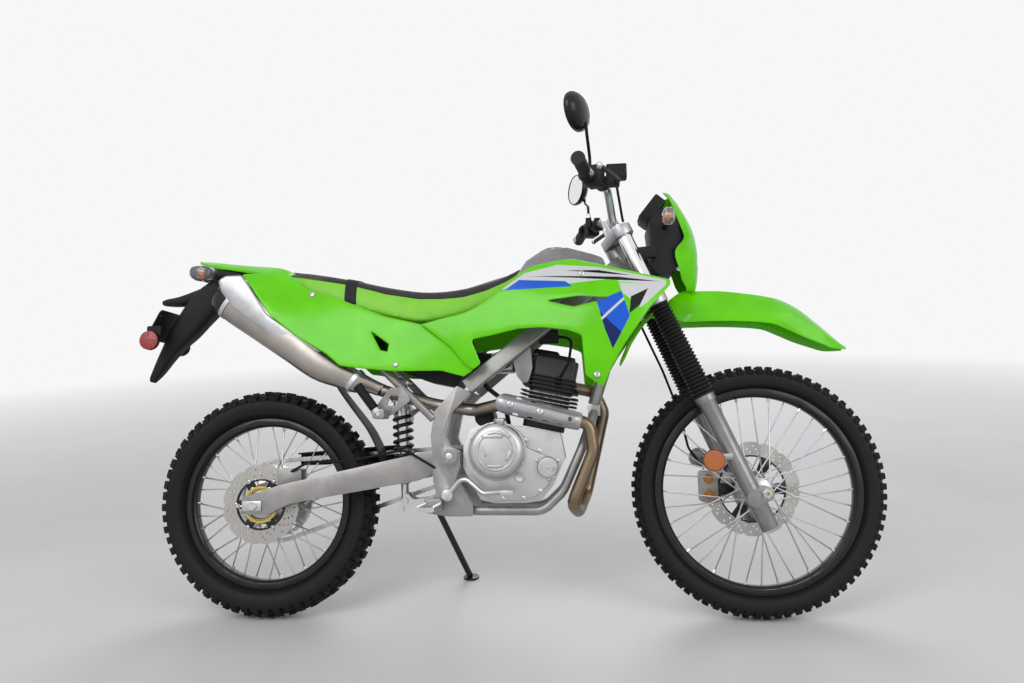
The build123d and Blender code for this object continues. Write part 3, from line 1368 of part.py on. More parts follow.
def passenger_peg():
    """Folded rubber peg with the plate bracket that carries it on the strut."""
    with BuildPart() as peg:
        with BuildSketch(side_plane(-123)):
            with BuildLine():
                Polyline((442, 606), (420, 638), (386, 640), (350, 596), (330, 570), (346, 552), (392, 566), close=True)
            make_face()
            with Locations((388, 602)):
                Rectangle(26, 30, mode=Mode.SUBTRACT)
        extrude(amount=8)
        way = Vector(-0.6, 0, 0.8)
        with BuildSketch(Plane(origin=(362, -182, 570), z_dir=way)):
            Circle(13)
        extrude(amount=92)
        with BuildSketch(Plane(origin=(366, -131, 566), x_dir=(1, 0, 0), z_dir=(0, -1, 0))):
            RectangleRounded(34, 30, 6)
        extrude(amount=60)
    return peg.part


pegs_right = foot_peg(-1) + passenger_peg()
keep(both_sides(pegs_right), "foot_pegs")

# ---- chain guard, rear caliper
with BuildPart() as chain_guard:
    with BuildSketch(side_plane(CHAIN_Y + CHAIN_W / 2 + 4)):
        with BuildLine():
            Polyline((60, 457), (400, 479), (400, 484), (60, 462), close=True)
        make_face()
    extrude(amount=CHAIN_W + 8)
    with BuildSketch(side_plane(CHAIN_Y + CHAIN_W / 2 + 8)):
        with BuildLine():
            Polyline((60, 462), (400, 484), (400, 440), (330, 428), (60, 424), close=True)
        make_face()
    extrude(amount=4)
    add(swingarm.part, mode=Mode.SUBTRACT)
keep(chain_guard.part, "chain_guard")

with BuildPart() as rear_caliper:
    add(caliper(88, 398, REAR_DISC_Y, REAR_DISC_Y, 70, 46, 0))
    with BuildSketch(Plane(origin=(0, REAR_DISC_Y + DISC_T / 2 + PAD_GAP, REAR_TYRE_R), x_dir=(1, 0, 0), z_dir=(0, -1, 0))):
        Circle(REAR_DISC_R + PAD_GAP)
    extrude(amount=DISC_T + 2 * PAD_GAP, mode=Mode.SUBTRACT)
    add(swingarm.part, mode=Mode.SUBTRACT)
keep(rear_caliper.part, "rear_caliper")

# ---- side stand: leg from its pivot to a round foot that lies flat on the floor
stand_pivot = Vector(*STAND_PIVOT)
lean_sin = math.sin(math.radians(LEAN))
lean_cos = math.cos(math.radians(LEAN))
floor_drop = REAR_CROWN_R * (1 - lean_cos)
stand_foot = Vector(STAND_FOOT_X, STAND_FOOT_Y, (STAND_FOOT_Y * lean_sin - floor_drop) / lean_cos)
floor_up = Vector(0, -lean_sin, lean_cos)
STAND_AXIS = Vector(0, 0.9266, 0.376)
with BuildPart() as side_stand:
    leg_way = (stand_foot - stand_pivot).normalized()
    with BuildSketch(Plane(origin=stand_pivot, z_dir=leg_way)):
        Circle(STAND_LEG_R)
    extrude(amount=(stand_foot - stand_pivot).length - 8)
    with BuildSketch(Plane(origin=stand_pivot - STAND_AXIS * 8, z_dir=STAND_AXIS)):
        Circle(18)
    extrude(amount=16)
    with BuildSketch(Plane(origin=stand_foot, z_dir=floor_up)):
        Circle(24)
    extrude(amount=6)
    with BuildSketch(Plane(origin=stand_pivot - STAND_AXIS * 12, z_dir=STAND_AXIS)):
        Circle(6.05)
    extrude(amount=24, mode=Mode.SUBTRACT)
keep(side_stand.part, "side_stand")
with BuildPart() as pivot_castings:
    add(castings)
    with BuildSketch(Plane(origin=stand_pivot - STAND_AXIS * 26, z_dir=STAND_AXIS)):
        Circle(6)
    extrude(amount=42)
    with BuildSketch(side_plane(CASTING_IN + 18)):
        with BuildLine():
            Polyline((440, 284), (440, 312), (480, 336), (530, 330), (560, 292), (540, 284), close=True)
        make_face()
    extrude(amount=18)
    add(cradle.part, mode=Mode.SUBTRACT)
keep(pivot_castings.part, "pivot_castings")

# ---- lean everything on the stand, centre it over its footprint, write it
LEANED = Location((0, 0, 0), (-LEAN, 0, 0))
leaned = [piece.moved(LEANED) for piece in pieces]
boxes = [copy.bounding_box() for copy in leaned]
middle_x = (min(box.min.X for box in boxes) + max(box.max.X for box in boxes)) / 2
middle_y = (min(box.min.Y for box in boxes) + max(box.max.Y for box in boxes)) / 2
floor_z = min(box.min.Z for box in boxes)
CENTRED = Location((-middle_x, -middle_y, -floor_z))
print("parked shift", -middle_x, -middle_y, -floor_z)
os.makedirs("parts", exist_ok=True)
for piece, copy in zip(pieces, leaned):
    placed = copy.moved(CENTRED)
    placed.label = piece.label
    export_step(placed, f"parts/{placed.label}.step")
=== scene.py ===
import json
import math
import bmesh
import bpy
import numpy as np
from mathutils import Matrix, Vector
from mathutils.bvhtree import BVHTree
from mathutils.geometry import delaunay_2d_cdt

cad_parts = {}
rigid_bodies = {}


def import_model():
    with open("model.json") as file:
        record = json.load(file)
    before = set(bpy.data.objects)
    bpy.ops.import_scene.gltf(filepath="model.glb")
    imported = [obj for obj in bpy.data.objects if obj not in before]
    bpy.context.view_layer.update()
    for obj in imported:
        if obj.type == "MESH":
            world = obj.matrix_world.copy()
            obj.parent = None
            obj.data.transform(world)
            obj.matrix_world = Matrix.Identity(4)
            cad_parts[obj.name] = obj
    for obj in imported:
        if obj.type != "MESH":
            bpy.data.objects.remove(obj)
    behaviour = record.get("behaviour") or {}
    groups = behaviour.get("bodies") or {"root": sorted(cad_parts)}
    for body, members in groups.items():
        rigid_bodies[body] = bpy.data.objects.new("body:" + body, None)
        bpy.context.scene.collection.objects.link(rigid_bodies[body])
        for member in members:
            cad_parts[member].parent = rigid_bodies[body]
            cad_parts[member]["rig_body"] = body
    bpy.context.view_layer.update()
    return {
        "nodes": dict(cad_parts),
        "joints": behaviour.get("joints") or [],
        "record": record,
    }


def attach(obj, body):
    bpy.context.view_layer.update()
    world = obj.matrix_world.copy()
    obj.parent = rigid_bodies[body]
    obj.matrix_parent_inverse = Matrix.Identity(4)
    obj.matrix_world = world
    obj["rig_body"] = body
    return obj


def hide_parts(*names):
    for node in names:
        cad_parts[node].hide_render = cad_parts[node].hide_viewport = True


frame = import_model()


# ---- Stance. The machine leans to its left on its side stand, both tyres on the floor. Its pieces are
# drawn upright in mm, X forward from the rear axle, Y to the left, Z up, and then leaned together.
LEAN = math.radians(11.74)
LEANED = Matrix.Rotation(-LEAN, 3, "X")
joints = {joint["name"]: joint for joint in frame["joints"]}
REAR_AXLE = Vector(joints["rear_wheel_spin"]["pos_m"])
SHIFT = REAR_AXLE - LEANED @ Vector((0, 0, 0.322))
PACKED = Matrix.Translation(SHIFT) @ LEANED.to_4x4()


# ---- Frame and swingarm. Welded steel tube and pressed spars with cast pivot plates, and a box-section
# arm, all sprayed a warm silver; the axle and pivot bolts are zinc plated.


class Level:
    def __init__(self, tree, socket):
        self.tree = tree
        self.socket = socket

    def by(self, operation, *others, **settings):
        node = self.tree.nodes.new("ShaderNodeMath")
        node.operation = operation
        for name, value in settings.items():
            setattr(node, name, value)
        for place, value in zip(node.inputs, (self, *others)):
            if isinstance(value, Level):
                self.tree.links.new(value.socket, place)
            else:
                place.default_value = value
        return Level(self.tree, node.outputs[0])

    def __add__(self, other):
        return self.by("ADD", other)

    __radd__ = __add__

    def __sub__(self, other):
        return self.by("SUBTRACT", other)

    def __rsub__(self, other):
        return (self * -1) + other

    def __mul__(self, other):
        return self.by("MULTIPLY", other)

    __rmul__ = __mul__

    def __truediv__(self, other):
        return self.by("DIVIDE", other)

    def __pow__(self, other):
        return self.by("POWER", other)

    def low(self, other):
        return self.by("MINIMUM", other)

    def high(self, other):
        return self.by("MAXIMUM", other)

    def size(self):
        return self.by("ABSOLUTE")

    def wave(self):
        return self.by("SINE")

    def rise(self, start, end):
        """0 at start and below, 1 at end and above, in between a straight climb."""
        return ((self - start) / (end - start)).by("MULTIPLY", 1.0, use_clamp=True)


class Finish:
    """A material on Blender's standard shader; it can also read the upright place in mm."""

    def __init__(self, name, **shader):
        self.material = bpy.data.materials.new(name)
        self.material.use_nodes = True
        self.tree = self.material.node_tree
        self.shader = self.tree.nodes["Principled BSDF"]
        self.set(**shader)

    def set(self, **shader):
        for name, value in shader.items():
            socket = self.shader.inputs[name.replace("_", " ")]
            if isinstance(value, Level):
                self.tree.links.new(value.socket, socket)
            elif isinstance(value, bpy.types.NodeSocket):
                self.tree.links.new(value, socket)
            elif isinstance(value, tuple):
                socket.default_value = (*value, 1)
            else:
                socket.default_value = value
        return self

    def node(self, kind, settings=None, **values):
        node = self.tree.nodes.new("ShaderNode" + kind)
        for name, value in (settings or {}).items():
            setattr(node, name, value)
        for name, value in values.items():
            socket = node.inputs[int(name[1:])] if name[0] == "_" else node.inputs[name]
            if isinstance(value, Level):
                self.tree.links.new(value.socket, socket)
            elif isinstance(value, bpy.types.NodeSocket):
                self.tree.links.new(value, socket)
            else:
                socket.default_value = value
        return node

    def place(self):
        """Upright place in mm, with the lean taken out."""
        back = LEANED.transposed() @ SHIFT * -1000
        spot = self.node("TexCoord").outputs["Object"]
        return self.node(
            "Mapping", _0=spot, _1=back, _2=(LEAN, 0, 0), _3=(1000, 1000, 1000)
        ).outputs[0]

    def axes(self, spot):
        split = self.node("SeparateXYZ", _0=spot)
        return [Level(self.tree, output) for output in split.outputs]

    def noise(self, spot, scale, detail=3, rough=0.5):
        node = self.node("TexNoise", Vector=spot, Scale=scale, Detail=detail, Roughness=rough)
        return Level(self.tree, node.outputs[0])

    def mix(self, share, first, second):
        """A colour between two, by share; each is an RGB tuple or a colour socket."""
        node = self.node("Mix", {"data_type": "RGBA"}, _0=share)
        for place, value in ((6, first), (7, second)):
            if isinstance(value, tuple):
                node.inputs[place].default_value = (*value, 1)
            else:
                self.tree.links.new(value, node.inputs[place])
        return node.outputs[2]

    def bump(self, height, strength, distance=0.001):
        node = self.node("Bump", Height=height, Strength=strength, Distance=distance)
        return self.set(Normal=node.outputs[0])


def painted(name, colour, roughness, flake=0.0):
    """Sprayed paint over metal, with orange peel and, for a silver, fine flake."""
    finish = Finish(
        name, Metallic=flake, Coat_Weight=0.4 if max(colour) > 0.05 else 0.15, Coat_Roughness=0.12,
        Specular_IOR_Level=0.3
    )
    spot = finish.place()
    finish.set(
        Base_Color=finish.mix(
            finish.noise(spot, 0.03, 5).rise(0.35, 0.7), tuple(p * 0.8 for p in colour), colour
        )
    )
    finish.set(Roughness=finish.noise(spot, 0.15, 4) * 0.14 + (roughness - 0.07))
    return finish.bump(finish.noise(spot, 0.9, 2), 0.05, 0.0004)


frame_silver = painted("frame_silver", (0.33, 0.32, 0.31), 0.4, flake=0.55)
arm_silver = painted("swingarm_silver", (0.36, 0.345, 0.335), 0.38, flake=0.5)


def metal(name, colour, roughness, grain=0.1, scale=0.7, dirt=0.15):
    """Bare metal: colour, sand or brush grain, and a little darker where grime has stayed."""
    finish = Finish(name, Metallic=1.0)
    spot = finish.place()
    stain = finish.noise(spot, 0.02, 6, 0.6).rise(0.4, 0.75) * dirt
    worn = tuple(part * 0.45 for part in colour)
    finish.set(Base_Color=finish.mix(stain, colour, worn))
    finish.set(Roughness=finish.noise(spot, scale, 4) * 0.2 + (roughness - 0.1))
    if grain:
        finish.bump(finish.noise(spot, scale, 5, 0.6), grain, 0.0005)
    return finish


dull_steel = metal("zinc_plated_steel", (0.55, 0.55, 0.56), 0.34, 0.06, 0.8, 0.3)


def dress(piece, finish):
    piece.data.materials.clear()
    piece.data.materials.append(finish.material)
    return piece


def settle(piece, finish, body, slot, *stands_for, crease=32):
    """Finish, shading and body of a piece, and the nodes it stands for; its slot is not used."""
    if finish:
        dress(piece, finish)
    piece.data.shade_smooth()
    piece.data.set_sharp_from_angle(angle=math.radians(crease))
    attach(piece, body)
    if stands_for:
        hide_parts(*stands_for)
    return piece


slots = {entry["node"]: entry["material_slot"] for entry in frame["record"]["subparts"]}


def linked(name, data):
    piece = bpy.data.objects.new(name, data)
    bpy.context.scene.collection.objects.link(piece)
    return piece


def softened(node, finish, width=1.2, segments=2, crease=32, slot=None):
    mesh = frame["nodes"][node].data.copy()
    piece = linked(node + "_finished", mesh)
    work = bmesh.new()
    work.from_mesh(mesh)
    bmesh.ops.remove_doubles(work, verts=work.verts, dist=2e-6)
    bmesh.ops.dissolve_limit(work, angle_limit=math.radians(0.8), verts=work.verts, edges=work.edges)
    sharp = [edge for edge in work.edges if edge.is_manifold and edge.calc_face_angle(0) > math.radians(28)]
    bmesh.ops.bevel(
        work, geom=sharp, offset=width / 1000, offset_type="OFFSET", segments=segments, profile=0.5,
        affect="EDGES", clamp_overlap=True,
    )
    work.to_mesh(mesh)
    work.free()
    body = frame["nodes"][node]["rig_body"]
    return settle(piece, finish, body, slot or slots[node], node, crease=crease)


for node, finish in (
    ("main_frame", frame_silver), ("pivot_castings", frame_silver), ("engine_cradle", frame_silver),
    ("subframe", frame_silver), ("swingarm", arm_silver), ("rear_axle_and_pivot", dull_steel),
):
    softened(node, finish)


# ---- Engine cases. Die-cast aluminium under a silver paint, with raised ribs, a filler, an oil window
# and a filter cap on the right cover, held by flanged screws.
case_silver = metal("case_silver", (0.50, 0.50, 0.51), 0.42, 0.16, 1.0, 0.3)
barrel_black = painted("barrel_black", (0.02, 0.02, 0.022), 0.42)


def moulded(name, colour, roughness, grain=0.0, coat=0.0):
    """Injection-moulded plastic: even colour, faint flow marks, fine grain if it isn't polished."""
    finish = Finish(name, IOR=1.5, Coat_Weight=coat, Coat_Roughness=0.08, Specular_IOR_Level=0.25)
    spot = finish.place()
    cloud = finish.noise(spot, 0.012, 4)
    darker = tuple(part * 0.86 for part in colour)
    finish.set(Base_Color=finish.mix(cloud.rise(0.35, 0.7), darker, colour))
    finish.set(Roughness=finish.noise(spot, 0.06, 5) * 0.16 + (roughness - 0.08))
    if grain:
        finish.bump(finish.noise(spot, 1.6, 3), grain, 0.0004)
    return finish


black_plastic = moulded("black_grained_plastic", (0.0085, 0.0085, 0.0095), 0.55, grain=0.25)
for node, finish in (
    ("crankcase", case_silver), ("engine_covers", case_silver), ("cylinder", barrel_black),
    ("cylinder_head", barrel_black), ("airbox_and_throttle_body", black_plastic),
):
    softened(node, finish, 2.0, 3)
cover_details = []


def facing_out(mesh, weld=0.0):
    """Turn the mesh's faces outwards, after its points nearer than weld metres are merged."""
    work = bmesh.new()
    work.from_mesh(mesh)
    if weld:
        bmesh.ops.remove_doubles(work, verts=work.verts, dist=weld)
    bmesh.ops.recalc_face_normals(work, faces=work.faces)
    work.to_mesh(mesh)
    work.free()


def shape(name, points, faces):
    spots = np.asarray(points, float) @ np.array(LEANED).T / 1000 + np.array(SHIFT)
    mesh = bpy.data.meshes.new(name)
    mesh.from_pydata(spots.tolist(), [], faces)
    facing_out(mesh, 2e-5)
    return linked(name, mesh)


def turned(name, centre, section, segments, closed=True):
    """A solid of revolution about Y through a centre, from (y, radius) points."""
    points, faces = [], []
    count = len(section)
    for turn_step in range(segments):
        angle = math.tau * turn_step / segments
        for y, radius in section:
            points.append(
                (centre[0] + radius * math.cos(angle), centre[1] + y, centre[2] + radius * math.sin(angle))
            )
    for turn_step in range(segments):
        near, far = turn_step * count, (turn_step + 1) % segments * count
        for n in range(count if closed else count - 1):
            after = (n + 1) % count
            faces.append((near + n, near + after, far + after, far + n))
    return shape(name, points, faces)


rim_ring = turned(
    "clutch_cover_flange", (675, -118, 463), [(0, 70), (0, 79), (-5, 79), (-6.5, 77.5), (-6.5, 70)], 64
)
lip = turned(
    "clutch_cover_step", (675, -159, 463),
    [(0, 50), (0.5, 54), (-1.6, 53), (-2.2, 50), (-2.2, 47), (0, 46)], 64
)
cover_details += [rim_ring, lip]
for (x0, z0, x1, z1, wide) in (
    (640, 502, 694, 502, 9), (636, 476, 648, 452, 7), (704, 440, 716, 462, 9), (652, 424, 690, 424, 6),
    (712, 500, 694, 516, 10)
):
    way_on = Vector((x1 - x0, 0, z1 - z0)).normalized()
    beside = Vector((way_on.z, 0, -way_on.x)) * wide / 2
    low = [
        Vector((x0, 0, z0)) - beside - way_on * 3, Vector((x1, 0, z1)) - beside + way_on * 3,
        Vector((x1, 0, z1)) + beside + way_on * 3, Vector((x0, 0, z0)) + beside - way_on * 3
    ]
    middle = sum(low, Vector()) / 4
    block = shape(
        "cover_rib", [(*(p + Vector((0, -158, 0))),) for p in low]
        + [(*(middle + (p - middle) * 0.86 + Vector((0, -163, 0))),) for p in low],
        [(0, 1, 2, 3), (4, 5, 6, 7), (0, 1, 5, 4), (1, 2, 6, 5), (2, 3, 7, 6), (3, 0, 4, 7)]
    )
    cover_details.append(block)
filter_cap = turned(
    "oil_filter_cap", (811, -141, 419),
    [(4, 0.1), (4, 26), (-2, 26), (-4, 24), (-4, 15), (-2.5, 13), (-2.5, 6), (-5, 5), (-5, 0.1)], 40
)


def revolved(name, start, way, section, segments=24):
    """A solid of revolution about an axis from start along way; section holds (along, radius)."""
    start, way = Vector(start), Vector(way).normalized()
    side = way.orthogonal().normalized()
    other = way.cross(side)
    rings = []
    for n in range(segments):
        out = side * math.cos(math.tau * n / segments) + other * math.sin(math.tau * n / segments)
        rings.append([tuple(start + way * at + out * radius) for at, radius in section])
    count = len(section)
    points = [point for ring in rings for point in ring]
    faces = []
    for n in range(segments):
        near, far = n * count, (n + 1) % segments * count
        faces += [(near + k, near + (k + 1) % count, far + (k + 1) % count, far + k) for k in range(count)]
    return shape(name, points, faces)


fill = revolved(
    "oil_filler", (684, -122, 535), (-0.05, -0.1, 1),
    [(-6, 0.1), (-6, 13), (6, 13), (6, 17), (14, 17), (15, 15.5), (15, 0.1)], 20
)
sight = turned(
    "oil_window", (735, -120, 392),
    [(2, 0.1), (2, 13), (-4, 13), (-5, 11.5), (-5, 9), (-3.6, 8), (-3.6, 0.1)], 28
)
cover_details += [filter_cap, fill, sight]


def joined(name, *pieces):
    """Several made pieces as one, each part keeping its own finish."""
    with bpy.context.temp_override(active_object=pieces[0], selected_editable_objects=list(pieces)):
        bpy.ops.object.join()
    pieces[0].name = name
    return pieces[0]


details = joined("engine_cover_details", *cover_details)


def modifier(piece, kind, name, **settings):
    added = piece.modifiers.new(name, kind)
    for key, value in settings.items():
        setattr(added, key, value)
    return added


def baked(piece):
    """The piece with its modifiers made into plain mesh."""
    result = bpy.data.meshes.new_from_object(piece.evaluated_get(bpy.context.evaluated_depsgraph_get()))
    piece.modifiers.clear()
    piece.data = result
    return piece


def bevelled(piece, width, segments=2, angle=40):
    """The piece with every edge sharper than the angle rounded, by a width in metres."""
    modifier(
        piece, "BEVEL", "edges", width=width, segments=segments, limit_method="ANGLE",
        angle_limit=math.radians(angle)
    )
    return baked(piece)


bevelled(details, 0.0009)
settle(details, case_silver, "chassis", "bare_aluminium")
# (x, z) round the right cover
CASE_SCREWS = [
    (607, 470), (616, 418), (640, 352), (690, 336), (745, 338), (790, 356), (822, 392), (826, 432),
    (790, 462), (752, 492), (700, 522), (642, 522)
]
CLUTCH = (675, -124.6, 463)
FILTER = (811, -119, 419)
STATOR = (752, 86, 430)


def screw_circle(centre, radius, count, first, side, size):
    """Screws set round an axis along Y, the first at an angle in degrees."""
    x, y, z = centre
    turns = [math.radians(first + 360 / count * k) for k in range(count)]
    return [((x + radius * math.cos(a), y, z + radius * math.sin(a)), (0, side, 0), size) for a in turns]


spots = [((x, -119, z), (0, -1, 0), 6.2) for x, z in CASE_SCREWS]
spots += screw_circle(CLUTCH, 74.5, 8, 18, -1, 4.6)
spots += screw_circle(FILTER, 33, 3, 30, -1, 5.0)
spots += screw_circle(STATOR, 70, 8, 20, 1, 5.0)
screw_points, screw_faces = [], []
for radius, height in ((1.0, 0.0), (1.0, 0.12), (0.86, 0.42), (0.5, 0.58)):
    screw_points += [
        (radius * math.cos(math.tau * n / 12), radius * math.sin(math.tau * n / 12), height)
        for n in range(12)
    ]
screw_points += [
    (0.42 * math.cos(math.tau * n / 12), 0.42 * math.sin(math.tau * n / 12), 0.16) for n in range(12)
]
for ring in range(4):
    screw_faces += [
        (12 * ring + n, 12 * ring + (n + 1) % 12, 12 * ring + 12 + (n + 1) % 12, 12 * ring + 12 + n)
        for n in range(12)
    ]
screw_faces += [tuple(range(48, 60)), tuple(reversed(range(12)))]
screw_mesh = bpy.data.meshes.new("screw_head")
screw_mesh.from_pydata(screw_points, [], screw_faces)
screw_head = bpy.data.objects.new("screw_head", screw_mesh)


class Growth:
    """A geometry tree: nodes by kind and settings, links by name, inputs by name."""

    def __init__(self, name, **inputs):
        self.group = bpy.data.node_groups.new(name, "GeometryNodeTree")
        self.group.interface.new_socket("Geometry", in_out="INPUT", socket_type="NodeSocketGeometry")
        for title, kind in inputs.items():
            self.group.interface.new_socket(title, in_out="INPUT", socket_type="NodeSocket" + kind)
        self.group.interface.new_socket("Geometry", in_out="OUTPUT", socket_type="NodeSocketGeometry")
        self.inputs = self.group.nodes.new("NodeGroupInput").outputs
        self.end = self.group.nodes.new("NodeGroupOutput")

    def node(self, kind, settings=None, **values):
        node = self.group.nodes.new(kind)
        for name, value in (settings or {}).items():
            setattr(node, name, value)
        for name, value in values.items():
            socket = node.inputs[int(name[1:])] if name[0] == "_" else node.inputs[name.replace("_", " ")]
            if isinstance(value, bpy.types.NodeSocket):
                self.group.links.new(value, socket)
            else:
                socket.default_value = value
        return node.outputs

    def finish(self, instances, material):
        real = self.node("GeometryNodeRealizeInstances", _0=instances)[0]
        painted = self.node("GeometryNodeSetMaterial", _0=real, Material=material)[0]
        self.group.links.new(painted, self.end.inputs[0])
        return self.group

    def grow(self, piece, **values):
        """The tree's mesh from the piece's own, with its named inputs filled."""
        added = modifier(piece, "NODES", "growth", node_group=self.group)
        keys = {
            item.name: item.identifier for item in self.group.interface.items_tree if item.in_out == "INPUT"
        }
        for name, value in values.items():
            added[keys[name]] = value
        return baked(piece)


set_out = Growth("screws_set_out", Head="Object", Finish="Material")
aim = set_out.node("GeometryNodeInputNamedAttribute", {"data_type": "FLOAT_VECTOR"}, Name="aim")[0]
size = set_out.node("GeometryNodeInputNamedAttribute", {"data_type": "FLOAT"}, Name="head_size")[0]
spots_in = set_out.node("GeometryNodeMeshToPoints", _0=set_out.inputs["Geometry"])[0]
facing = set_out.node("FunctionNodeAlignRotationToVector", {"axis": "Z"}, Vector=aim)[0]
head = set_out.node(
    "GeometryNodeObjectInfo", {"transform_space": "ORIGINAL"}, Object=set_out.inputs["Head"]
)["Geometry"]
placed = set_out.node(
    "GeometryNodeInstanceOnPoints", Points=spots_in, Instance=head, Rotation=facing, Scale=size
)[0]
set_out.finish(placed, set_out.inputs["Finish"])


def park(point):
    """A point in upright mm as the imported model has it, in metres."""
    return LEANED @ (Vector(point) / 1000) + SHIFT


def screws(name, spots, finish, body, slot):
    """Button-head screws at (place, aim, head radius), all in upright mm."""
    mesh = bpy.data.meshes.new(name)
    mesh.from_pydata([tuple(park(spot)) for spot, _, _ in spots], [], [])
    mesh.attributes.new("aim", "FLOAT_VECTOR", "POINT").data.foreach_set(
        "vector", [part for _, way, _ in spots for part in (LEANED @ Vector(way).normalized())])
    mesh.attributes.new("head_size", "FLOAT", "POINT").data.foreach_set(
        "value", [radius / 1000 for _, _, radius in spots]
    )
    piece = linked(name, mesh)
    set_out.grow(piece, Head=screw_head, Finish=finish.material)
    return settle(piece, None, body, slot)


screws("engine_screws", spots, dull_steel, "chassis", "steel")


# ---- Barrel and head. Black-painted castings whose fin rims are machined bright, under a low
# cover bolted on top.
finned = Finish("finned_black", IOR=1.5)
spot = finned.place()
along, across, up = finned.axes(spot)
tilted = finned.node(
    "Mapping", {"vector_type": "TEXTURE"}, _0=spot, _1=(790, 0, 490), _2=(0, math.radians(12), 0)
).outputs[0]
fore, _, _ = finned.axes(tilted)
edge = (across.size() - 78.6).rise(0, 0.4).high((fore.size() - 80.6).rise(0, 0.4))
edge = edge * (finned.noise(spot, 0.12, 4).rise(0.32, 0.5))
finned.set(Base_Color=finned.mix(edge, (0.018, 0.018, 0.019), (0.55, 0.55, 0.56)), Metallic=edge)
finned.set(Roughness=finned.noise(spot, 0.3, 4) * 0.2 + 0.36)
finned.bump(finned.noise(spot, 0.9, 4), 0.2, 0.0005)
for node in ("cylinder_finished", "cylinder_head_finished"):
    dress(bpy.data.objects[node], finned)


def ringed_loft(name, rings, ends=True):
    """A skin through closed rings of equal count, its two ends filled."""
    count = len(rings[0])
    points = [point for ring in rings for point in ring]
    faces = []
    for n in range(len(rings) - 1):
        for k in range(count):
            after = (k + 1) % count
            faces.append((n * count + k, n * count + after, (n + 1) * count + after, (n + 1) * count + k))
    if ends:
        faces += [tuple(range(count)), tuple(range((len(rings) - 1) * count, len(rings) * count))]
    return shape(name, points, faces)


head_cover = ringed_loft("valve_cover", [
    [(x, y, z) for x, y, z in ring] for ring in (
        [(770, -45, 722), (846, -45, 706), (846, 45, 706), (770, 45, 722)],
        [(772, -45, 738), (850, -45, 722), (850, 45, 722), (772, 45, 738)],
        [(782, -36, 748), (844, -36, 736), (844, 36, 736), (782, 36, 748)],
    )
])
bevelled(head_cover, 0.004, 3, 30)
settle(head_cover, barrel_black, "chassis", "black_plastic")


# ---- Intake and ignition. Rubber boots join the throttle body to the airbox; the coil, plug lead and
# breather hose are clipped to the frame, and hanger screws hold the head.
boot = revolved(
    "intake_boot", (600, 0, 712), (1, 0, 0),
    [(0, 27.5), (4, 34), (12, 34), (16, 30), (22, 34), (30, 34), (36, 29), (60, 29), (60, 27.5)], 28
)
black_rubber = moulded("black_rubber", (0.008, 0.008, 0.008), 0.72, grain=0.35)
dress(boot, black_rubber)
clamp = revolved("boot_clamp", (652, 0, 712), (1, 0, 0), [(0, 29), (0, 31.5), (9, 31.5), (9, 29)], 28)
dress(clamp, dull_steel)


def rounded_box(name, low, high, radius, axis=0):
    """A block with its four edges along one axis rounded."""
    (x0, y0, z0), (x1, y1, z1) = low, high
    others = [n for n in range(3) if n != axis]
    a0, b0 = low[others[0]], low[others[1]]
    a1, b1 = high[others[0]], high[others[1]]
    rim = []
    for ca, cb, start in (
        (a1 - radius, b1 - radius, 0), (a0 + radius, b1 - radius, 90), (a0 + radius, b0 + radius, 180),
        (a1 - radius, b0 + radius, 270)
    ):
        for k in range(7):
            a = math.radians(start + 15 * k)
            rim.append((ca + radius * math.cos(a), cb + radius * math.sin(a)))
    rings = []
    for at in (low[axis], high[axis]):
        ring = []
        for a, b in rim:
            point = [0, 0, 0]
            point[axis], point[others[0]], point[others[1]] = at, a, b
            ring.append(tuple(point))
        rings.append(ring)
    return ringed_loft(name, rings)


body = rounded_box("throttle_body", (664, -34, 682), (716, 34, 742), 12, axis=0)
bevelled(body, 0.004)
dress(body, case_silver)
wheel = turned(
    "throttle_wheel", (690, -40, 712), [(-6, 0.1), (-6, 17), (-3, 20), (0, 17), (3, 20), (5, 17), (5, 0.1)],
    24
)
dress(wheel, black_plastic)
coil_box = rounded_box("ignition_coil", (790, -72, 758), (846, -44, 796), 8, axis=0)
bevelled(coil_box, 0.003)
dress(coil_box, black_plastic)


def bent(route, bends, step=9):
    """Points along a line of straights joined by arcs of the given radii."""
    route = [Vector(point) for point in route]
    line = [route[0]]
    for n in range(1, len(route) - 1):
        to, on = (route[n - 1] - route[n]), (route[n + 1] - route[n])
        half = to.angle(on) / 2
        reach = min(bends[n - 1] / math.tan(half), 0.49 * to.length, 0.49 * on.length)
        start, end = route[n] + to.normalized() * reach, route[n] + on.normalized() * reach
        steps = max(3, int(math.degrees(math.pi - 2 * half) / step))
        for k in range(steps + 1):
            t = k / steps
            line.append(start * (1 - t) ** 2 + route[n] * 2 * t * (1 - t) + end * t ** 2)
    return line + [route[-1]]


def tube(name, line, radius, sides=8, closed=False):
    """A round tube along points in upright mm, its ends filled."""
    line = [Vector(point) for point in line]
    rings, count = [], len(line)
    side = None
    for n in range(count):
        ahead = line[(n + 1) % count] if closed or n < count - 1 else line[n]
        behind = line[n - 1] if closed or n else line[n]
        way = (ahead - behind).normalized()
        if side is None:
            side = way.orthogonal().normalized()
        side = (side - way * side.dot(way)).normalized()
        other = way.cross(side)
        size = radius(n / (count - 1)) if callable(radius) else radius
        rings.append([
            tuple(
                line[n]
                + size * (side * math.cos(math.tau * k / sides) + other * math.sin(math.tau * k / sides))
            )
            for k in range(sides)
        ])
    if closed:
        rings.append(rings[0])
    return ringed_loft(name, rings, ends=not closed)


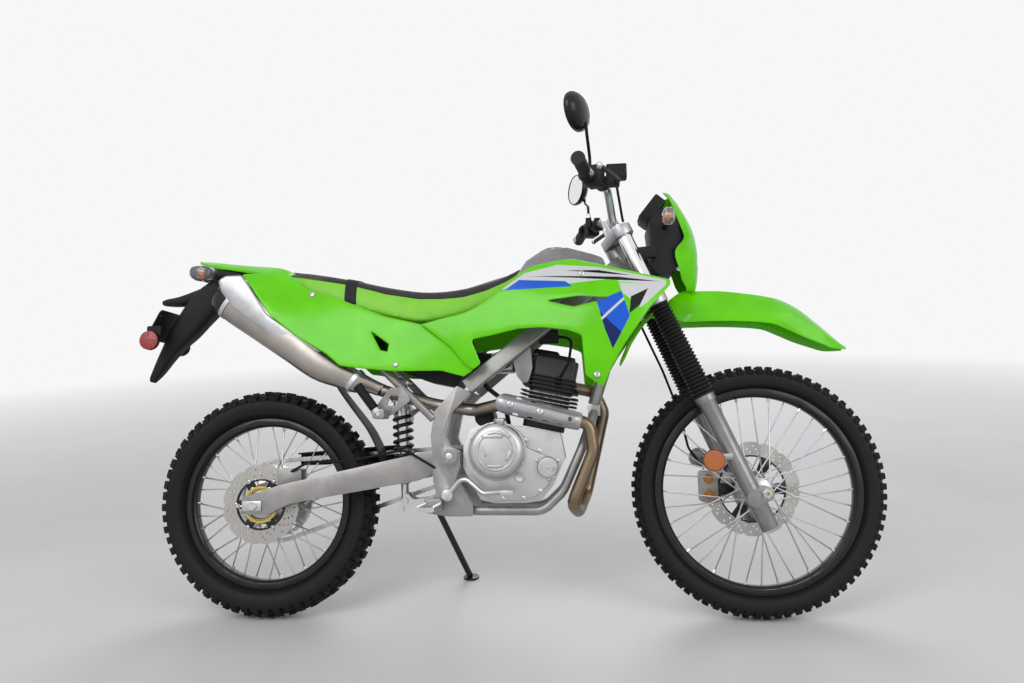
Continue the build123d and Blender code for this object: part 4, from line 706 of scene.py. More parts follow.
lead = tube(
    "plug_lead", bent([(842, -56, 778), (884, -60, 770), (872, -58, 700), (846, -62, 660)], [22, 30], 12),
    4, 10
)
dress(lead, black_rubber)
plug_cap = revolved(
    "plug_cap", (846, -62, 662), (-0.25, 0.25, -1),
    [(0, 0.1), (0, 7), (10, 8.5), (26, 8.5), (30, 6), (30, 0.1)], 18
)
dress(plug_cap, black_rubber)
breather = tube(
    "breather_hose",
    bent([(700, -30, 536), (690, -52, 600), (640, -60, 640), (612, -40, 700)], [30, 40], 12), 6.5, 12
)
dress(breather, black_rubber)
coolant = tube("fuel_line", bent([(700, 36, 740), (740, 50, 790), (800, 40, 830)], [20], 12), 4, 10)
dress(coolant, black_rubber)
bay = [boot, clamp, body, wheel, coil_box, lead, plug_cap, breather, coolant]
settle(joined("engine_bay_parts", *bay), None, "chassis", "black_plastic")
spots = [
    ((744, -63.5, 740), (0, -1, 0), 6), ((746, -63.5, 668), (0, -1, 0), 6),
    ((744, 79.5, 740), (0, 1, 0), 6), ((746, 79.5, 668), (0, 1, 0), 6)
]
screws("engine_hanger_screws", spots, dull_steel, "chassis", "steel")


# ---- Rear shock. Spring steel wound round a damper, between an eye on the frame and a forged rocker
# with its pins.
foot, top = Vector((397, 0, 330)), Vector((386, 0, 664))
way_up = (top - foot).normalized()
coil_line = []
side_a = way_up.orthogonal().normalized()
side_b = way_up.cross(side_a)
TURNS, COILS_FROM, COILS_TO = 8.5, 66, 248
for n in range(int(TURNS * 20) + 1):
    angle = math.tau * n / 20
    at = COILS_FROM + (COILS_TO - COILS_FROM) * n / (TURNS * 20)
    coil_line.append(tuple(foot + way_up * at + 25.5 * (side_a * math.cos(angle) + side_b * math.sin(angle))))
coil = tube("shock_spring", coil_line, 5.2, 10)
dress(coil, painted("spring_black", (0.012, 0.012, 0.014), 0.35))
damper = revolved(
    "shock_damper", foot, way_up,
    [
        (0, 0.1), (0, 11), (40, 11), (44, 18), (56, 18), (58, 31), (64, 31), (64, 12), (150, 12), (150, 18),
        (250, 18), (250, 31), (257, 31), (257, 27), (292, 27), (294, 20), (315, 18), (334, 12), (334, 0.1)
    ],
    28
)
clean_silver = metal("machined_aluminium", (0.60, 0.61, 0.63), 0.3, 0.06, 0.5, 0.15)
dress(damper, clean_silver)
eye = turned("shock_eye", (386, 0, 664), [(-15, 9.1), (-15, 17), (15, 17), (15, 9.1)], 28)
dress(eye, clean_silver)
links = []


def rounded(outline):
    """The outline with each corner given as an arc of the radius in its third column."""
    line = []
    count = len(outline)
    for n in range(count):
        here = np.array(outline[n][:2], float)
        before = np.array(outline[n - 1][:2], float)
        after = np.array(outline[(n + 1) % count][:2], float)
        radius = outline[n][2] if len(outline[n]) > 2 else 0
        to, on = before - here, after - here
        half = math.acos(max(-1, min(1, to @ on / np.linalg.norm(to) / np.linalg.norm(on)))) / 2
        reach = min(
            radius / math.tan(half) if half > 0.05 else 0, 0.48 * np.linalg.norm(to),
            0.48 * np.linalg.norm(on)
        ) if radius else 0
        if reach < 0.3:
            line.append(tuple(here))
            continue
        start, end = here + to / np.linalg.norm(to) * reach, here + on / np.linalg.norm(on) * reach
        steps = max(2, int(math.degrees(math.pi - 2 * half) / 9))
        for step in range(steps + 1):
            t = step / steps
            line.append(tuple(start * (1 - t) ** 2 + here * 2 * t * (1 - t) + end * t ** 2))
    return line


for y in (-26, 26):
    outline = [
        (404, 352, 8), (384, 302, 10), (410, 294, 10), (520, 316, 10), (538, 334, 8), (520, 342, 10),
        (424, 328, 20)
    ]
    rim_line = rounded(outline)
    links.append(ringed_loft("rocker_plate", [[(x, y + d, z) for x, z in rim_line] for d in (-4, 4)]))
for x, z, half in ((404, 326, 36), (524, 330, 92), (392, 304, 36)):
    links.append(turned("link_pin", (x, 0, z), [(-half, 0.1), (-half, 8), (half, 8), (half, 0.1)], 20))
for piece in links:
    dress(piece, dull_steel)
settle(
    joined("shock_assembly", coil, damper, eye, *links), None, "chassis", "steel", "rear_shock_and_linkage",
    crease=40
)


# ---- Mudflap and starter motor. A moulded black sheet shields the shock from the rear tyre, and the
# dark motor lies across the crankcase behind the cylinder.
# the sheet's middle line from its foot to under the seat: (x, z, half width)
MUDFLAP = [
    (349, 371, 46), (343, 410, 47), (334, 450, 48), (318, 490, 48), (296, 530, 48), (266, 570, 46),
    (238, 606, 42), (206, 650, 36), (178, 700, 32), (150, 760, 30), (118, 820, 30), (84, 874, 32)
]
rows = []


def smoothed(values):
    """Station rows with three more between each two, on a smooth line through them."""
    rows = np.array(values, float)
    ts = np.arange(len(rows))
    fine = np.linspace(0, len(rows) - 1, (len(rows) - 1) * 4 + 1)
    padded = np.vstack([2 * rows[0] - rows[1], rows, 2 * rows[-1] - rows[-2]])
    result = []
    for t in fine:
        n = min(int(t), len(rows) - 2)
        f = t - n
        a, b, c, d = padded[n:n + 4]
        result.append(
            0.5 * (
                (2 * b) + (c - a) * f + (2 * a - 5 * b + 4 * c - d) * f * f
                + (3 * b - a - 3 * c + d) * f ** 3
            )
        )
    return result


for x, z, half in smoothed(MUDFLAP):
    rows.append([(x, y, z) for y in (-half, -half * 0.6, -half * 0.2, half * 0.2, half * 0.6, half)])


def sheet_loft(name, rows, wall=3.0):
    """An open sheet through rows of points, with more rows on a smooth line, and its thickness."""
    lines = np.array([np.ravel(row) for row in rows], float)
    lines = np.array(smoothed(lines)).reshape(-1, len(rows[0]), 3)
    count = lines.shape[1]
    points = lines.reshape(-1, 3)
    faces = [
        (n * count + k, n * count + k + 1, (n + 1) * count + k + 1, (n + 1) * count + k)
        for n in range(len(lines) - 1) for k in range(count - 1)
    ]
    sheet = shape(name, points, faces)
    up = np.mean([face.normal.z for face in sheet.data.polygons])
    if up < 0:
        sheet.data.flip_normals()
    modifier(sheet, "SOLIDIFY", "wall", thickness=wall / 1000, offset=-1)
    return bevelled(sheet, 0.001, angle=50)


flap = sheet_loft("inner_mudflap", rows, 2.5)
motor = turned(
    "starter_motor", (634, 0, 556),
    [(-62, 0.1), (-62, 22), (-58, 27), (40, 27), (44, 22), (62, 22), (62, 0.1)], 32
)
settle(joined("mudflap_and_starter", flap, motor), black_plastic, "chassis", "black_plastic")


# ---- Wheels. Black alloy rims laced with stainless spokes to aluminium hubs; a nipple at each spoke's
# foot tightens it in the rim.
spoke_steel = metal("spoke_steel", (0.46, 0.46, 0.47), 0.32, 0.05, 0.6, 0.3)
black_paint = painted("black_paint", (0.005, 0.005, 0.006), 0.3)
for node, finish, width in (
    ("rear_rim", black_paint, 1.0), ("front_rim", black_paint, 1.0),
    ("rear_hub_and_spokes", spoke_steel, 0.5), ("front_hub_and_spokes", spoke_steel, 0.5),
):
    softened(node, finish, width)
FRONT_WHEEL = (1380, 0, 343.5)
REAR_WHEEL = (0, 0, 322)
# a ring of equal pitches about an axle along Y, through the mesh's own origin
around = Growth("around_an_axle", Pitches="Int", Finish="Material")
step = around.node("ShaderNodeMath", {"operation": "DIVIDE"}, _0=math.tau, _1=around.inputs["Pitches"])[0]
index = around.node("GeometryNodeInputIndex")[0]
angle = around.node("ShaderNodeMath", {"operation": "MULTIPLY"}, _0=index, _1=step)[0]
turn = around.node("ShaderNodeCombineXYZ", Y=angle)[0]
ring = around.node("GeometryNodePoints", Count=around.inputs["Pitches"])[0]
set_round = around.node(
    "GeometryNodeInstanceOnPoints", Points=ring, Instance=around.inputs["Geometry"], Rotation=turn
)[0]
around.finish(set_round, around.inputs["Finish"])


def ringed(name, centre, points, faces, pitches, finish):
    """One pitch given about its own axle, repeated round it and set at the axle's place."""
    mesh = bpy.data.meshes.new(name)
    mesh.from_pydata([tuple(point) for point in points], [], faces)
    piece = linked(name, mesh)
    around.grow(piece, Pitches=pitches, Finish=finish.material)
    piece.data.transform(PACKED @ Matrix.Scale(0.001, 4) @ Matrix.Translation(centre))
    facing_out(piece.data, 2e-5)
    return piece


for title, centre, r, count, body in (
    ("rear_nipples", REAR_WHEEL, 216.5, 36, "rear_wheel"),
    ("front_nipples", FRONT_WHEEL, 254.2, 36, "front_wheel")
):
    points, faces = [], []
    for y in (-5, 5):
        base = len(points)
        for out, wide in ((r + 1, 3.2), (r - 4, 3.2), (r - 9, 2.6)):
            for k in range(6):
                points.append((out, y + wide * math.cos(math.tau * k / 6), wide * math.sin(math.tau * k / 6)))
        for ring in range(2):
            faces += [
                (
                    base + 6 * ring + k, base + 6 * ring + (k + 1) % 6, base + 6 * ring + 6 + (k + 1) % 6,
                    base + 6 * ring + 6 + k
                )
                for k in range(6)
            ]
        faces.append(tuple(base + 12 + k for k in range(6)))
        faces.append(tuple(base + k for k in reversed(range(6))))
    settle(ringed(title, centre, points, faces, count // 2, dull_steel), None, body, "steel")


# ---- Tyres. Knobbly rubber on a smooth carcass, held by its beads in the rim. A lug is given by its
# place across the tread, its length and its width, and one pitch is repeated round the axle.
# (first edge, last edge) in degrees round the crown, (start, length) as shares of the pitch
LUG_ROWS = [
    (-39, -18, 0.00, 0.29), (18, 39, 0.00, 0.29), (-16, 16, 0.50, 0.28),
    (-63, -43, 0.00, 0.31), (43, 63, 0.00, 0.31), (-63, -43, 0.50, 0.31), (43, 63, 0.50, 0.31),
]
# (share of the half width, share of the height) from the bead up the sidewall
SIDEWALL = [
    (0.6, 0.09), (0.78, 0.2), (0.83, 0.245), (0.845, 0.26), (0.87, 0.32), (0.94, 0.5), (0.975, 0.72),
    (0.93, 0.93)
]
tread_rubber = moulded("tread_rubber", (0.0075, 0.0072, 0.0068), 0.78, grain=0.4)
sidewall_rubber = moulded("sidewall_rubber", (0.0065, 0.0065, 0.007), 0.6, grain=0.2)


def knobbly_tyre(name, centre, outer, crown, half, rim_outer, bead, depth, pitches, body, node):
    hub_of_crown = outer - crown
    shoulder = hub_of_crown + (crown - depth) * math.cos(math.radians(52))
    right = [(bead, rim_outer - 11.5), (bead, rim_outer + 1)]
    right += [(half * y, rim_outer + (shoulder - rim_outer) * r) for y, r in SIDEWALL]
    for angle in range(50, 0, -7):
        a = math.radians(angle)
        right.append(((crown - depth) * math.sin(a), hub_of_crown + (crown - depth) * math.cos(a)))
    section = [(-y, r) for y, r in right] + [(y, r) for y, r in reversed(right)]
    carcass = turned(name, centre, section, 144)
    points, faces = [], []
    pitch = math.tau / pitches
    for left, right_edge, start, length in LUG_ROWS:
        base = len(points)
        side_cut = 0.9 if abs(left) > 40 or abs(right_edge) > 40 else 0.6
        for height, shrink in ((-1.5, -0.8), (depth - 1.3, 0.0), (depth, 1.0)):
            reach = crown - depth + height
            for edge, end in ((left, 0), (left, 1), (right_edge, 1), (right_edge, 0)):
                inward = shrink if edge == left else -shrink
                a = math.radians(edge) + inward / crown
                across = reach * math.sin(a)
                out = hub_of_crown + reach * math.cos(a)
                along = (start + length * end) * pitch + (shrink if end == 0 else -shrink) * side_cut / outer
                points.append((out * math.cos(along), across, out * math.sin(along)))
        for level in (0, 4):
            for n in range(4):
                after = (n + 1) % 4
                faces.append(
                    (base + level + n, base + level + after, base + level + 4 + after, base + level + 4 + n)
                )
        faces.append((base + 8, base + 9, base + 10, base + 11))
    lugs = ringed(name + "_lugs", centre, points, faces, pitches, tread_rubber)
    dress(carcass, sidewall_rubber)
    return settle(joined(name, carcass, lugs), None, body, "tyre", node, crease=38)


knobbly_tyre("rear_tyre_with_lugs", REAR_WHEEL, 322, 56, 52, 241, 24, 11, 30, "rear_wheel", "rear_tyre")
knobbly_tyre("front_tyre_with_lugs", FRONT_WHEEL, 343.5, 44, 38, 279, 18, 9, 38, "front_wheel", "front_tyre")


# ---- Brakes. Drilled steel rings with a scalloped edge float on black carriers by round bobbins, and
# cast calipers clamp them; the rear hose is clipped along the swingarm.
disc_steel = metal("disc_steel", (0.42, 0.405, 0.38), 0.36, 0.04, 1.2, 0.2)
gold_steel = metal("gold_passivated_steel", (0.62, 0.47, 0.12), 0.32, 0.03, 0.8, 0.2)
# rows of points this many mm inside an edge never fit, so a flat piece has none
NO_ROWS = (1000,)


def circle(x, z, radius, count, start=0.0):
    return [
        (
            x + radius * math.cos(start + math.tau * n / count), z
            + radius * math.sin(start + math.tau * n / count)
        )
        for n in range(count)
    ]


def clearance(points, line):
    """How far each point is from the closed line."""
    best = np.full(len(points), 1e9)
    for a, b in zip(line, line[1:] + line[:1]):
        a, b = np.array(a, float), np.array(b, float)
        way = b - a
        share = np.clip(((points - a) @ way) / max(way @ way, 1e-9), 0, 1)
        best = np.minimum(best, np.linalg.norm(points - a - share[:, None] * way, axis=1))
    return best


def divided(line, longest):
    points = []
    for a, b in zip(line, line[1:] + line[:1]):
        parts = max(1, math.ceil(math.dist(a, b) / longest))
        points += [(a[0] + (b[0] - a[0]) * n / parts, a[1] + (b[1] - a[1]) * n / parts) for n in range(parts)]
    return points


def inside(points, line):
    """Which points lie inside the closed line."""
    x, z = points[:, 0], points[:, 1]
    hit = np.zeros(len(points), bool)
    for (x0, z0), (x1, z1) in zip(line, line[1:] + line[:1]):
        crosses = (z0 > z) != (z1 > z)
        if z1 != z0:
            hit ^= crosses & (x < (x1 - x0) * (z - z0) / (z1 - z0) + x0)
    return hit


def skin(name, outline, surface, openings=(), wall=3, roll=2.2, net=8, lips=(1.2, 2.6, 5.0)):
    """A sheet over the outline on y = surface(x, z), with a rolled rim round it and its openings."""
    edges = [divided(rounded(line), net * 0.7) for line in (outline, *openings)]
    everything = [np.array(edge) for edge in edges]
    low, high = np.min(everything[0], axis=0), np.max(everything[0], axis=0)
    columns, rows = np.arange(low[0], high[0], net), np.arange(low[1], high[1], net * 0.87)
    grid = np.array([(x + (net / 2 if row % 2 else 0), z) for row, z in enumerate(rows) for x in columns])
    rings = []
    for edge in edges:
        line = np.array(edge)
        way = np.roll(line, -1, 0) - np.roll(line, 1, 0)
        way /= np.linalg.norm(way, axis=1)[:, None] + 1e-9
        across = np.stack([-way[:, 1], way[:, 0]], 1)
        for lip in lips:
            rings += [line + across * lip, line - across * lip]
    loose = [grid] + rings
    kept = []
    for number, cloud in enumerate(loose):
        good = inside(cloud, edges[0])
        far = clearance(cloud, edges[0])
        for edge in edges[1:]:
            good &= ~inside(cloud, edge)
            far = np.minimum(far, clearance(cloud, edge))
        limit = net * 0.62 + lips[-1] if number == 0 else lips[((number - 1) // 2) % len(lips)] * 0.93
        kept.append(cloud[good & (far > limit)])
    flat = np.concatenate(everything + kept)
    borders, start = [], 0
    for edge in edges:
        borders += [(start + n, start + (n + 1) % len(edge)) for n in range(len(edge))]
        start += len(edge)
    spots, _, faces, _, _, _ = delaunay_2d_cdt([Vector(p) for p in flat], borders, [], 0, 1e-4)
    flat = np.array([tuple(p) for p in spots])
    middles = np.array([np.mean(flat[list(face)], axis=0) for face in faces])
    good = inside(middles, edges[0])
    for edge in edges[1:]:
        good &= ~inside(middles, edge)
    faces = [face for face, keep in zip(faces, good) if keep]
    far = np.min([clearance(flat, edge) for edge in edges], axis=0)
    side = np.array([surface(x, z) for x, z in flat])
    drop = roll * (1 - np.clip(far / lips[-1], 0, 1)) ** 2
    side += drop * (1 if side.mean() < 0 else -1)
    sheet = shape(name, np.stack([flat[:, 0], side, flat[:, 1]], 1), faces)
    centre = np.mean([face.normal.y for face in sheet.data.polygons])
    if (centre > 0) == (side.mean() < 0):
        sheet.data.flip_normals()
    modifier(sheet, "SOLIDIFY", "wall", thickness=wall / 1000, offset=-1)
    return baked(sheet)


def flat_ring(name, y, outline, openings, thick):
    return skin(name, outline, lambda x, z: y, openings, thick, 0.0, 40, NO_ROWS)


def brake_disc(name, centre, y, radius, inner, hub, waves, drilled, body, node):
    x, _, z = centre
    rim = []
    for n in range(216):
        angle = math.tau * n / 216
        r = radius - 5.5 * max(0.0, math.cos(waves * angle)) ** 4
        rim.append((x + r * math.cos(angle), z + r * math.sin(angle)))
    openings = [circle(x, z, inner, 72)]
    width = radius - 5.5 - inner
    for row in range(3):
        turn_by = row * math.tau / drilled / 3
        for n in range(drilled):
            if n % 3 == 2 and row == 1:
                continue
            a = math.tau * n / drilled + turn_by
            at = inner + width * (0.24 + 0.27 * row)
            openings.append(circle(x + at * math.cos(a), z + at * math.sin(a), 2.9, 8))
    side = 1 if y > 0 else -1
    ring = flat_ring(name + "_ring", y + side * 1.75, rim, openings, 3.5)
    dress(ring, disc_steel)
    windows = [circle(x, z, hub, 48)]
    for n in range(6):
        a0 = math.tau * (n + 0.5) / 6
        span, mid = math.radians(19), (inner + hub) / 2
        half = (inner - hub) / 2 - 6
        window = [
            (x + (mid + half) * math.cos(a0 + span * t), z + (mid + half) * math.sin(a0 + span * t))
            for t in (-1, -0.5, 0, 0.5, 1)
        ]
        window += [
            (
                x + (mid - half) * math.cos(a0 + span * t * 0.8), z
                + (mid - half) * math.sin(a0 + span * t * 0.8)
            )
            for t in (1, 0.5, 0, -0.5, -1)
        ]
        windows.append(window)
    carrier = flat_ring(name + "_carrier", y + side * 2.6, circle(x, z, inner - 1.2, 72), windows, 5)
    bevelled(carrier, 0.0008, angle=50)
    dress(carrier, black_paint)
    disc = settle(joined(name, ring, carrier), None, body, "steel", node)
    spots = screw_circle((x, y + side * 1.6, z), inner, 6, 0, side, 6)
    spots += screw_circle((x, y + side * 2.4, z), hub + 7, 6, 0, side, 6.5)
    screws(name + "_bobbins", spots, dull_steel, body, "steel")
    return disc


brake_disc("rear_disc_assembly", REAR_WHEEL, -68, 110, 72, 42, 12, 24, "rear_wheel", "rear_brake_disc")
brake_disc("front_disc_assembly", FRONT_WHEEL, 62, 132, 96, 40, 14, 28, "front_wheel", "front_brake_disc")
tooth = [
    (40, -1.2, -1.6), (40, -1.2, 1.6), (46, -1.2, 1.6), (46, -1.2, -1.6), (40, 1.2, -1.6), (40, 1.2, 1.6),
    (46, 1.2, 1.6), (46, 1.2, -1.6)
]
cube = [(0, 1, 2, 3), (4, 5, 6, 7), (0, 1, 5, 4), (1, 2, 6, 5), (2, 3, 7, 6), (3, 0, 4, 7)]
tone_teeth = ringed("speed_ring_teeth", (0, -73, 322), tooth, cube, 48, gold_steel)
tone_ring = turned("speed_ring", (0, -73, 322), [(-1.2, 45), (-1.2, 51), (1.2, 51), (1.2, 45)], 64)
dress(tone_ring, gold_steel)
settle(joined("speed_ring_assembly", tone_ring, tone_teeth), None, "rear_wheel", "steel")
caliper_grey = metal("caliper_grey", (0.30, 0.29, 0.28), 0.45, 0.2, 0.9, 0.3)
for node in ("rear_caliper", "front_caliper"):
    softened(node, caliper_grey, 3)
pistons = []
for z in (332, 374):
    for side, y in ((-1, 42), (1, 84)):
        pistons.append(
            turned(
                "piston_cap", (1258, y, z),
                [
                    (0, 0.1), (0, 15), (side * 2.5, 15), (side * 3.5, 13.5), (side * 3.5, 9),
                    (side * 2.4, 8), (side * 2.4, 0.1)
                ],
                28
            )
        )
bronze = metal("piston_bronze", (0.36, 0.17, 0.06), 0.34, 0.05, 0.8, 0.2)
settle(joined("front_caliper_pistons", *pistons), bronze, "steering", "steel")
hose_line = bent(
    [(96, -96, 414), (150, -104, 440), (260, -108, 440), (420, -106, 470), (505, -122, 420)],
    [30, 40, 60, 30], 10
)
hose = tube("rear_brake_hose", hose_line, 3.4, 10)
dress(hose, black_rubber)
settle(hose, None, "chassis", "black_rubber")


# ---- Final drive. A roller chain of steel plates and pins, link by link round both sprockets, under a
# moulded guard; nuts and adjuster blocks close the swingarm's ends.
CHAIN_Y = 66.5
LINKS = 112
REAR_PITCH_R = 116.3
FRONT_PITCH_R = 35.7
DRIVE_SPROCKET = (600, CHAIN_Y, 440)
laid = Growth("links_on_a_loop", Links="Int", Inner="Object", Outer="Object", Finish="Material")
loop_curve = laid.node("GeometryNodeMeshToCurve", _0=laid.inputs["Geometry"])[0]
pins = laid.node("GeometryNodeResampleCurve", Curve=loop_curve, Count=laid.inputs["Links"])[0]
along = laid.node("GeometryNodeInputTangent")[0]
facing = laid.node("FunctionNodeAlignRotationToVector", {"axis": "X"}, Vector=along)[0]
parity = laid.node(
    "FunctionNodeIntegerMath", {"operation": "MODULO"}, _0=laid.node("GeometryNodeInputIndex")[0], _1=2
)[0]
odd = laid.node("FunctionNodeCompare", {"data_type": "INT", "operation": "EQUAL"}, _2=parity, _3=1)[0]
even = laid.node("FunctionNodeCompare", {"data_type": "INT", "operation": "EQUAL"}, _2=parity, _3=0)[0]
pieces_of = [
    laid.node("GeometryNodeObjectInfo", Object=laid.inputs[name])["Geometry"] for name in ("Inner", "Outer")
]
both = laid.node("GeometryNodeJoinGeometry")
for chosen, unit in ((odd, pieces_of[0]), (even, pieces_of[1])):
    placed = laid.node(
        "GeometryNodeInstanceOnPoints", Points=pins, Selection=chosen, Instance=unit, Rotation=facing
    )[0]
    laid.group.links.new(placed, laid.group.nodes["Join Geometry"].inputs[0])
laid.finish(both[0], laid.inputs["Finish"])


def loop_round(first, first_r, second, second_r, steps=40):
    """The belt line round two circles in the XZ plane, from under the first, anticlockwise."""
    gap = math.hypot(second[0] - first[0], second[2] - first[2])
    slope = math.atan2(second[2] - first[2], second[0] - first[0])
    spread = math.acos((first_r - second_r) / gap)
    line = []
    for centre, radius, start, sweep in (
        (first, first_r, slope + spread, math.tau - 2 * spread),
        (second, second_r, slope - spread, 2 * spread)
    ):
        for n in range(steps + 1):
            angle = start + sweep * n / steps
            line.append((centre[0] + radius * math.cos(angle), CHAIN_Y, centre[2] + radius * math.sin(angle)))
    return line


line = loop_round((0, CHAIN_Y, 322), REAR_PITCH_R, DRIVE_SPROCKET, FRONT_PITCH_R)
length = sum(math.dist(a, b) for a, b in zip(line, line[1:] + line[:1]))
pitch = length / LINKS
units = []


def cylinder_y(points, faces, x, z, radius, low, high, sides=8):
    base = len(points)
    for y in (low, high):
        for n in range(sides):
            angle = math.tau * n / sides
            points.append((x + radius * math.cos(angle), y, z + radius * math.sin(angle)))
    faces.append(tuple(range(base, base + sides)))
    faces.append(tuple(range(base + sides, base + 2 * sides)))
    for n in range(sides):
        after = (n + 1) % sides
        faces.append((base + n, base + after, base + sides + after, base + sides + n))


def link_plate(points, faces, pitch, y, thick, waist, boss):
    """A figure-of-eight plate between two pins, centred on its own middle."""
    rim = []
    for end in (-1, 1):
        for angle in (-100, -60, -20, 20, 60, 100):
            a = math.radians(angle)
            rim.append((end * (pitch / 2 + boss * math.cos(a)), end * boss * math.sin(a)))
        rim.append((0, end * waist))
    base = len(points)
    count = len(rim)
    for side in (y - thick / 2, y + thick / 2):
        points.extend((x, side, z) for x, z in rim)
    faces.append(tuple(range(base, base + count)))
    faces.append(tuple(range(base + count, base + 2 * count)))
    for n in range(count):
        after = (n + 1) % count
        faces.append((base + n, base + after, base + count + after, base + count + n))


for name, plate_y, roller in (("inner_link", 5.4, 5.1), ("outer_link", 7.4, 0)):
    points, faces = [], []
    for side in (-1, 1):
        link_plate(points, faces, pitch, side * plate_y, 1.9, 5.2, 6.9)
    for x in (-pitch / 2, pitch / 2):
        cylinder_y(points, faces, x, 0, roller or 2.6, *((-4.4, 4.4) if roller else (-9.4, 9.4)))
    mesh = bpy.data.meshes.new(name)
    mesh.from_pydata(points, [], faces)
    units.append(bpy.data.objects.new(name, mesh))
loop_mesh = bpy.data.meshes.new("drive_chain_links")
loop_mesh.from_pydata(line, [(n, (n + 1) % len(line)) for n in range(len(line))], [])
chain = linked("drive_chain_links", loop_mesh)
laid.grow(chain, Links=LINKS, Inner=units[0], Outer=units[1], Finish=dull_steel.material)
for unit in units:
    bpy.data.objects.remove(unit)
chain.data.transform(PACKED @ Matrix.Scale(0.001, 4))
settle(chain, None, "chassis", "steel", "drive_chain")
for node, finish, width in (("rear_sprocket", dull_steel, 0.5), ("chain_guard", black_plastic, 1)):
    softened(node, finish, width)
ends = []
for side in (-1, 1):
    y = side * 121
    out = side
    nut_line = [(0, 0.1), (0, 15), (3, 15), (3, 12.5), (13, 12.5), (14.5, 11), (14.5, 0.1)]
    nut = revolved("axle_nut", (0, y, 322), (0, out, 0), nut_line, 6 if side < 0 else 24)
    block = shape(
        "adjuster_block",
        [(x, yy, z) for yy in (y, y + out * 5) for x, z in ((-30, 308), (24, 308), (24, 336), (-30, 336))],
        cube
    )
    bevelled(block, 0.0015)
    screw = tube("adjuster_screw", [(-30, y + out * 2, 322), (-46, y + out * 2, 321)], 3.2, 8)
    cap_nut = tube("adjuster_nut", [(-36, y + out * 2, 322), (-42, y + out * 2, 321.6)], 6.5, 6)
    ends += [nut, block, screw, cap_nut]
settle(joined("axle_ends", *ends), dull_steel, "chassis", "steel")


# ---- Fork. Chromed tubes in cast clamps slide in silver legs under ribbed rubber gaiters clamped at
# both ends, with an amber reflector on each leg and nuts on the axle.
leg_silver = painted("fork_leg_silver", (0.27, 0.265, 0.26), 0.34, flake=0.6)
chrome = metal("hard_chrome", (0.82, 0.83, 0.85), 0.12, 0.0, 0.5, 0.05)
for node, finish, width in (
    ("fork_legs", leg_silver, 1.5), ("fork_tubes", chrome, 0.6), ("lower_clamp_and_stem", case_silver, 2),
    ("upper_clamp", case_silver, 2), ("front_axle", clean_silver, 0.8),
):
    softened(node, finish, width)
RAKE = math.radians(24)
TRAIL = 95
STEER_UP = Vector((-math.sin(RAKE), 0, math.cos(RAKE)))
STEER_AHEAD = Vector((math.cos(RAKE), 0, math.sin(RAKE)))
STEER_FOOT = Vector(FRONT_WHEEL) - STEER_AHEAD * (FRONT_WHEEL[2] * math.sin(RAKE) - TRAIL * math.cos(RAKE))
# a gaiter: its ribs, and its ends along the fork
RIBS, LOW, HIGH = 25, 296.3, 571
LEG_OUT = 97.5
gaiters = []


def on_fork(up, side=0, ahead=24):
    return STEER_FOOT + STEER_UP * up + STEER_AHEAD * ahead + Vector((0, side * LEG_OUT, 0))


for side in (-1, 1):
    section = [(0, 21), (0, 29), (5, 29)]
    step = (HIGH - LOW - 14) / RIBS
    for n in range(RIBS):
        crest = 31.5 - 4.0 * n / RIBS
        base = 7 + n * step
        section += [
            (base, crest - 5.2), (base + step * 0.3, crest - 1.0), (base + step * 0.5, crest),
            (base + step * 0.7, crest - 1.0)
        ]
    section += [(HIGH - LOW - 6, 24), (HIGH - LOW - 5, 26.5), (HIGH - LOW, 26.5), (HIGH - LOW, 21)]
    gaiters.append(revolved("gaiter", on_fork(LOW, side), STEER_UP, section, 32))
gaiter_rubber = moulded("gaiter_rubber", (0.010, 0.010, 0.0105), 0.5, grain=0.1)
settle(
    joined("gaiters_ribbed", *gaiters), gaiter_rubber, "steering", "black_rubber", "fork_gaiters", crease=50
)


# reflectors: a black cup with an amber or red lens of fine prisms
def lens_finish(name, colour, prism=0.5):
    finish = Finish(
        name, Base_Color=colour, Roughness=0.12, IOR=1.5, Transmission_Weight=0.35, Coat_Weight=0.5,
        Coat_Roughness=0.04
    )
    spot = finish.place()
    x, y, z = finish.axes(spot)
    cells = (x * 1.6).wave() * (z * 1.6).wave()
    finish.set(Base_Color=finish.mix(cells.rise(-0.6, 0.8), tuple(c * 0.7 for c in colour), colour))
    return finish.bump(cells, prism, 0.0006)


amber = lens_finish("amber_reflector", (0.85, 0.20, 0.01))
discs = []
for side in (-1, 1):
    plate = turned(
        "reflector_plate", (1246, side * 137.2, 431),
        [(0, 0.1), (0, 28.6), (side * 1.5, 28.6), (side * 1.5, 26)], 36, closed=False
    )
    face = turned(
        "reflector_face", (1246, side * 137, 431),
        [(side * 0.5, 27.2), (side * 3.2, 27.0), (side * 4.6, 25.2), (side * 5.0, 20), (side * 5.2, 0.1)],
        36, closed=False
    )
    dress(plate, black_plastic)
    dress(face, amber)
    discs += [plate, face]
settle(joined("fork_reflectors", *discs), None, "steering", "amber_lens")
brass = metal("brass_insert", (0.62, 0.42, 0.10), 0.3, 0.05, 0.8, 0.2)
nut = revolved(
    "front_axle_nut", (1380, -122, 343.5), (0, -1, 0),
    [(0, 0.1), (0, 14), (3, 14), (3, 11.5), (8, 11.5), (9, 10), (9, 0.1)], 6
)
dress(nut, dull_steel)
insert = turned(
    "axle_insert", (1380, -131, 343.5), [(0, 0.1), (0, 5.4), (-2, 5.4), (-2, 4), (1, 2.8), (1, 0.1)], 24
)
dress(insert, brass)
front_bits = [nut, insert]
settle(joined("front_axle_ends", *front_bits), None, "steering", "steel")


# ---- Handlebar. A bent aluminium tube with moulded switches, ribbed rubber grips, oval mirrors on thin
# stems, and the front brake's hose, which turns with it.
for node, finish, width in (("handlebar", clean_silver, 0.5), ("bar_controls", black_plastic, 4)):
    softened(node, finish, width)


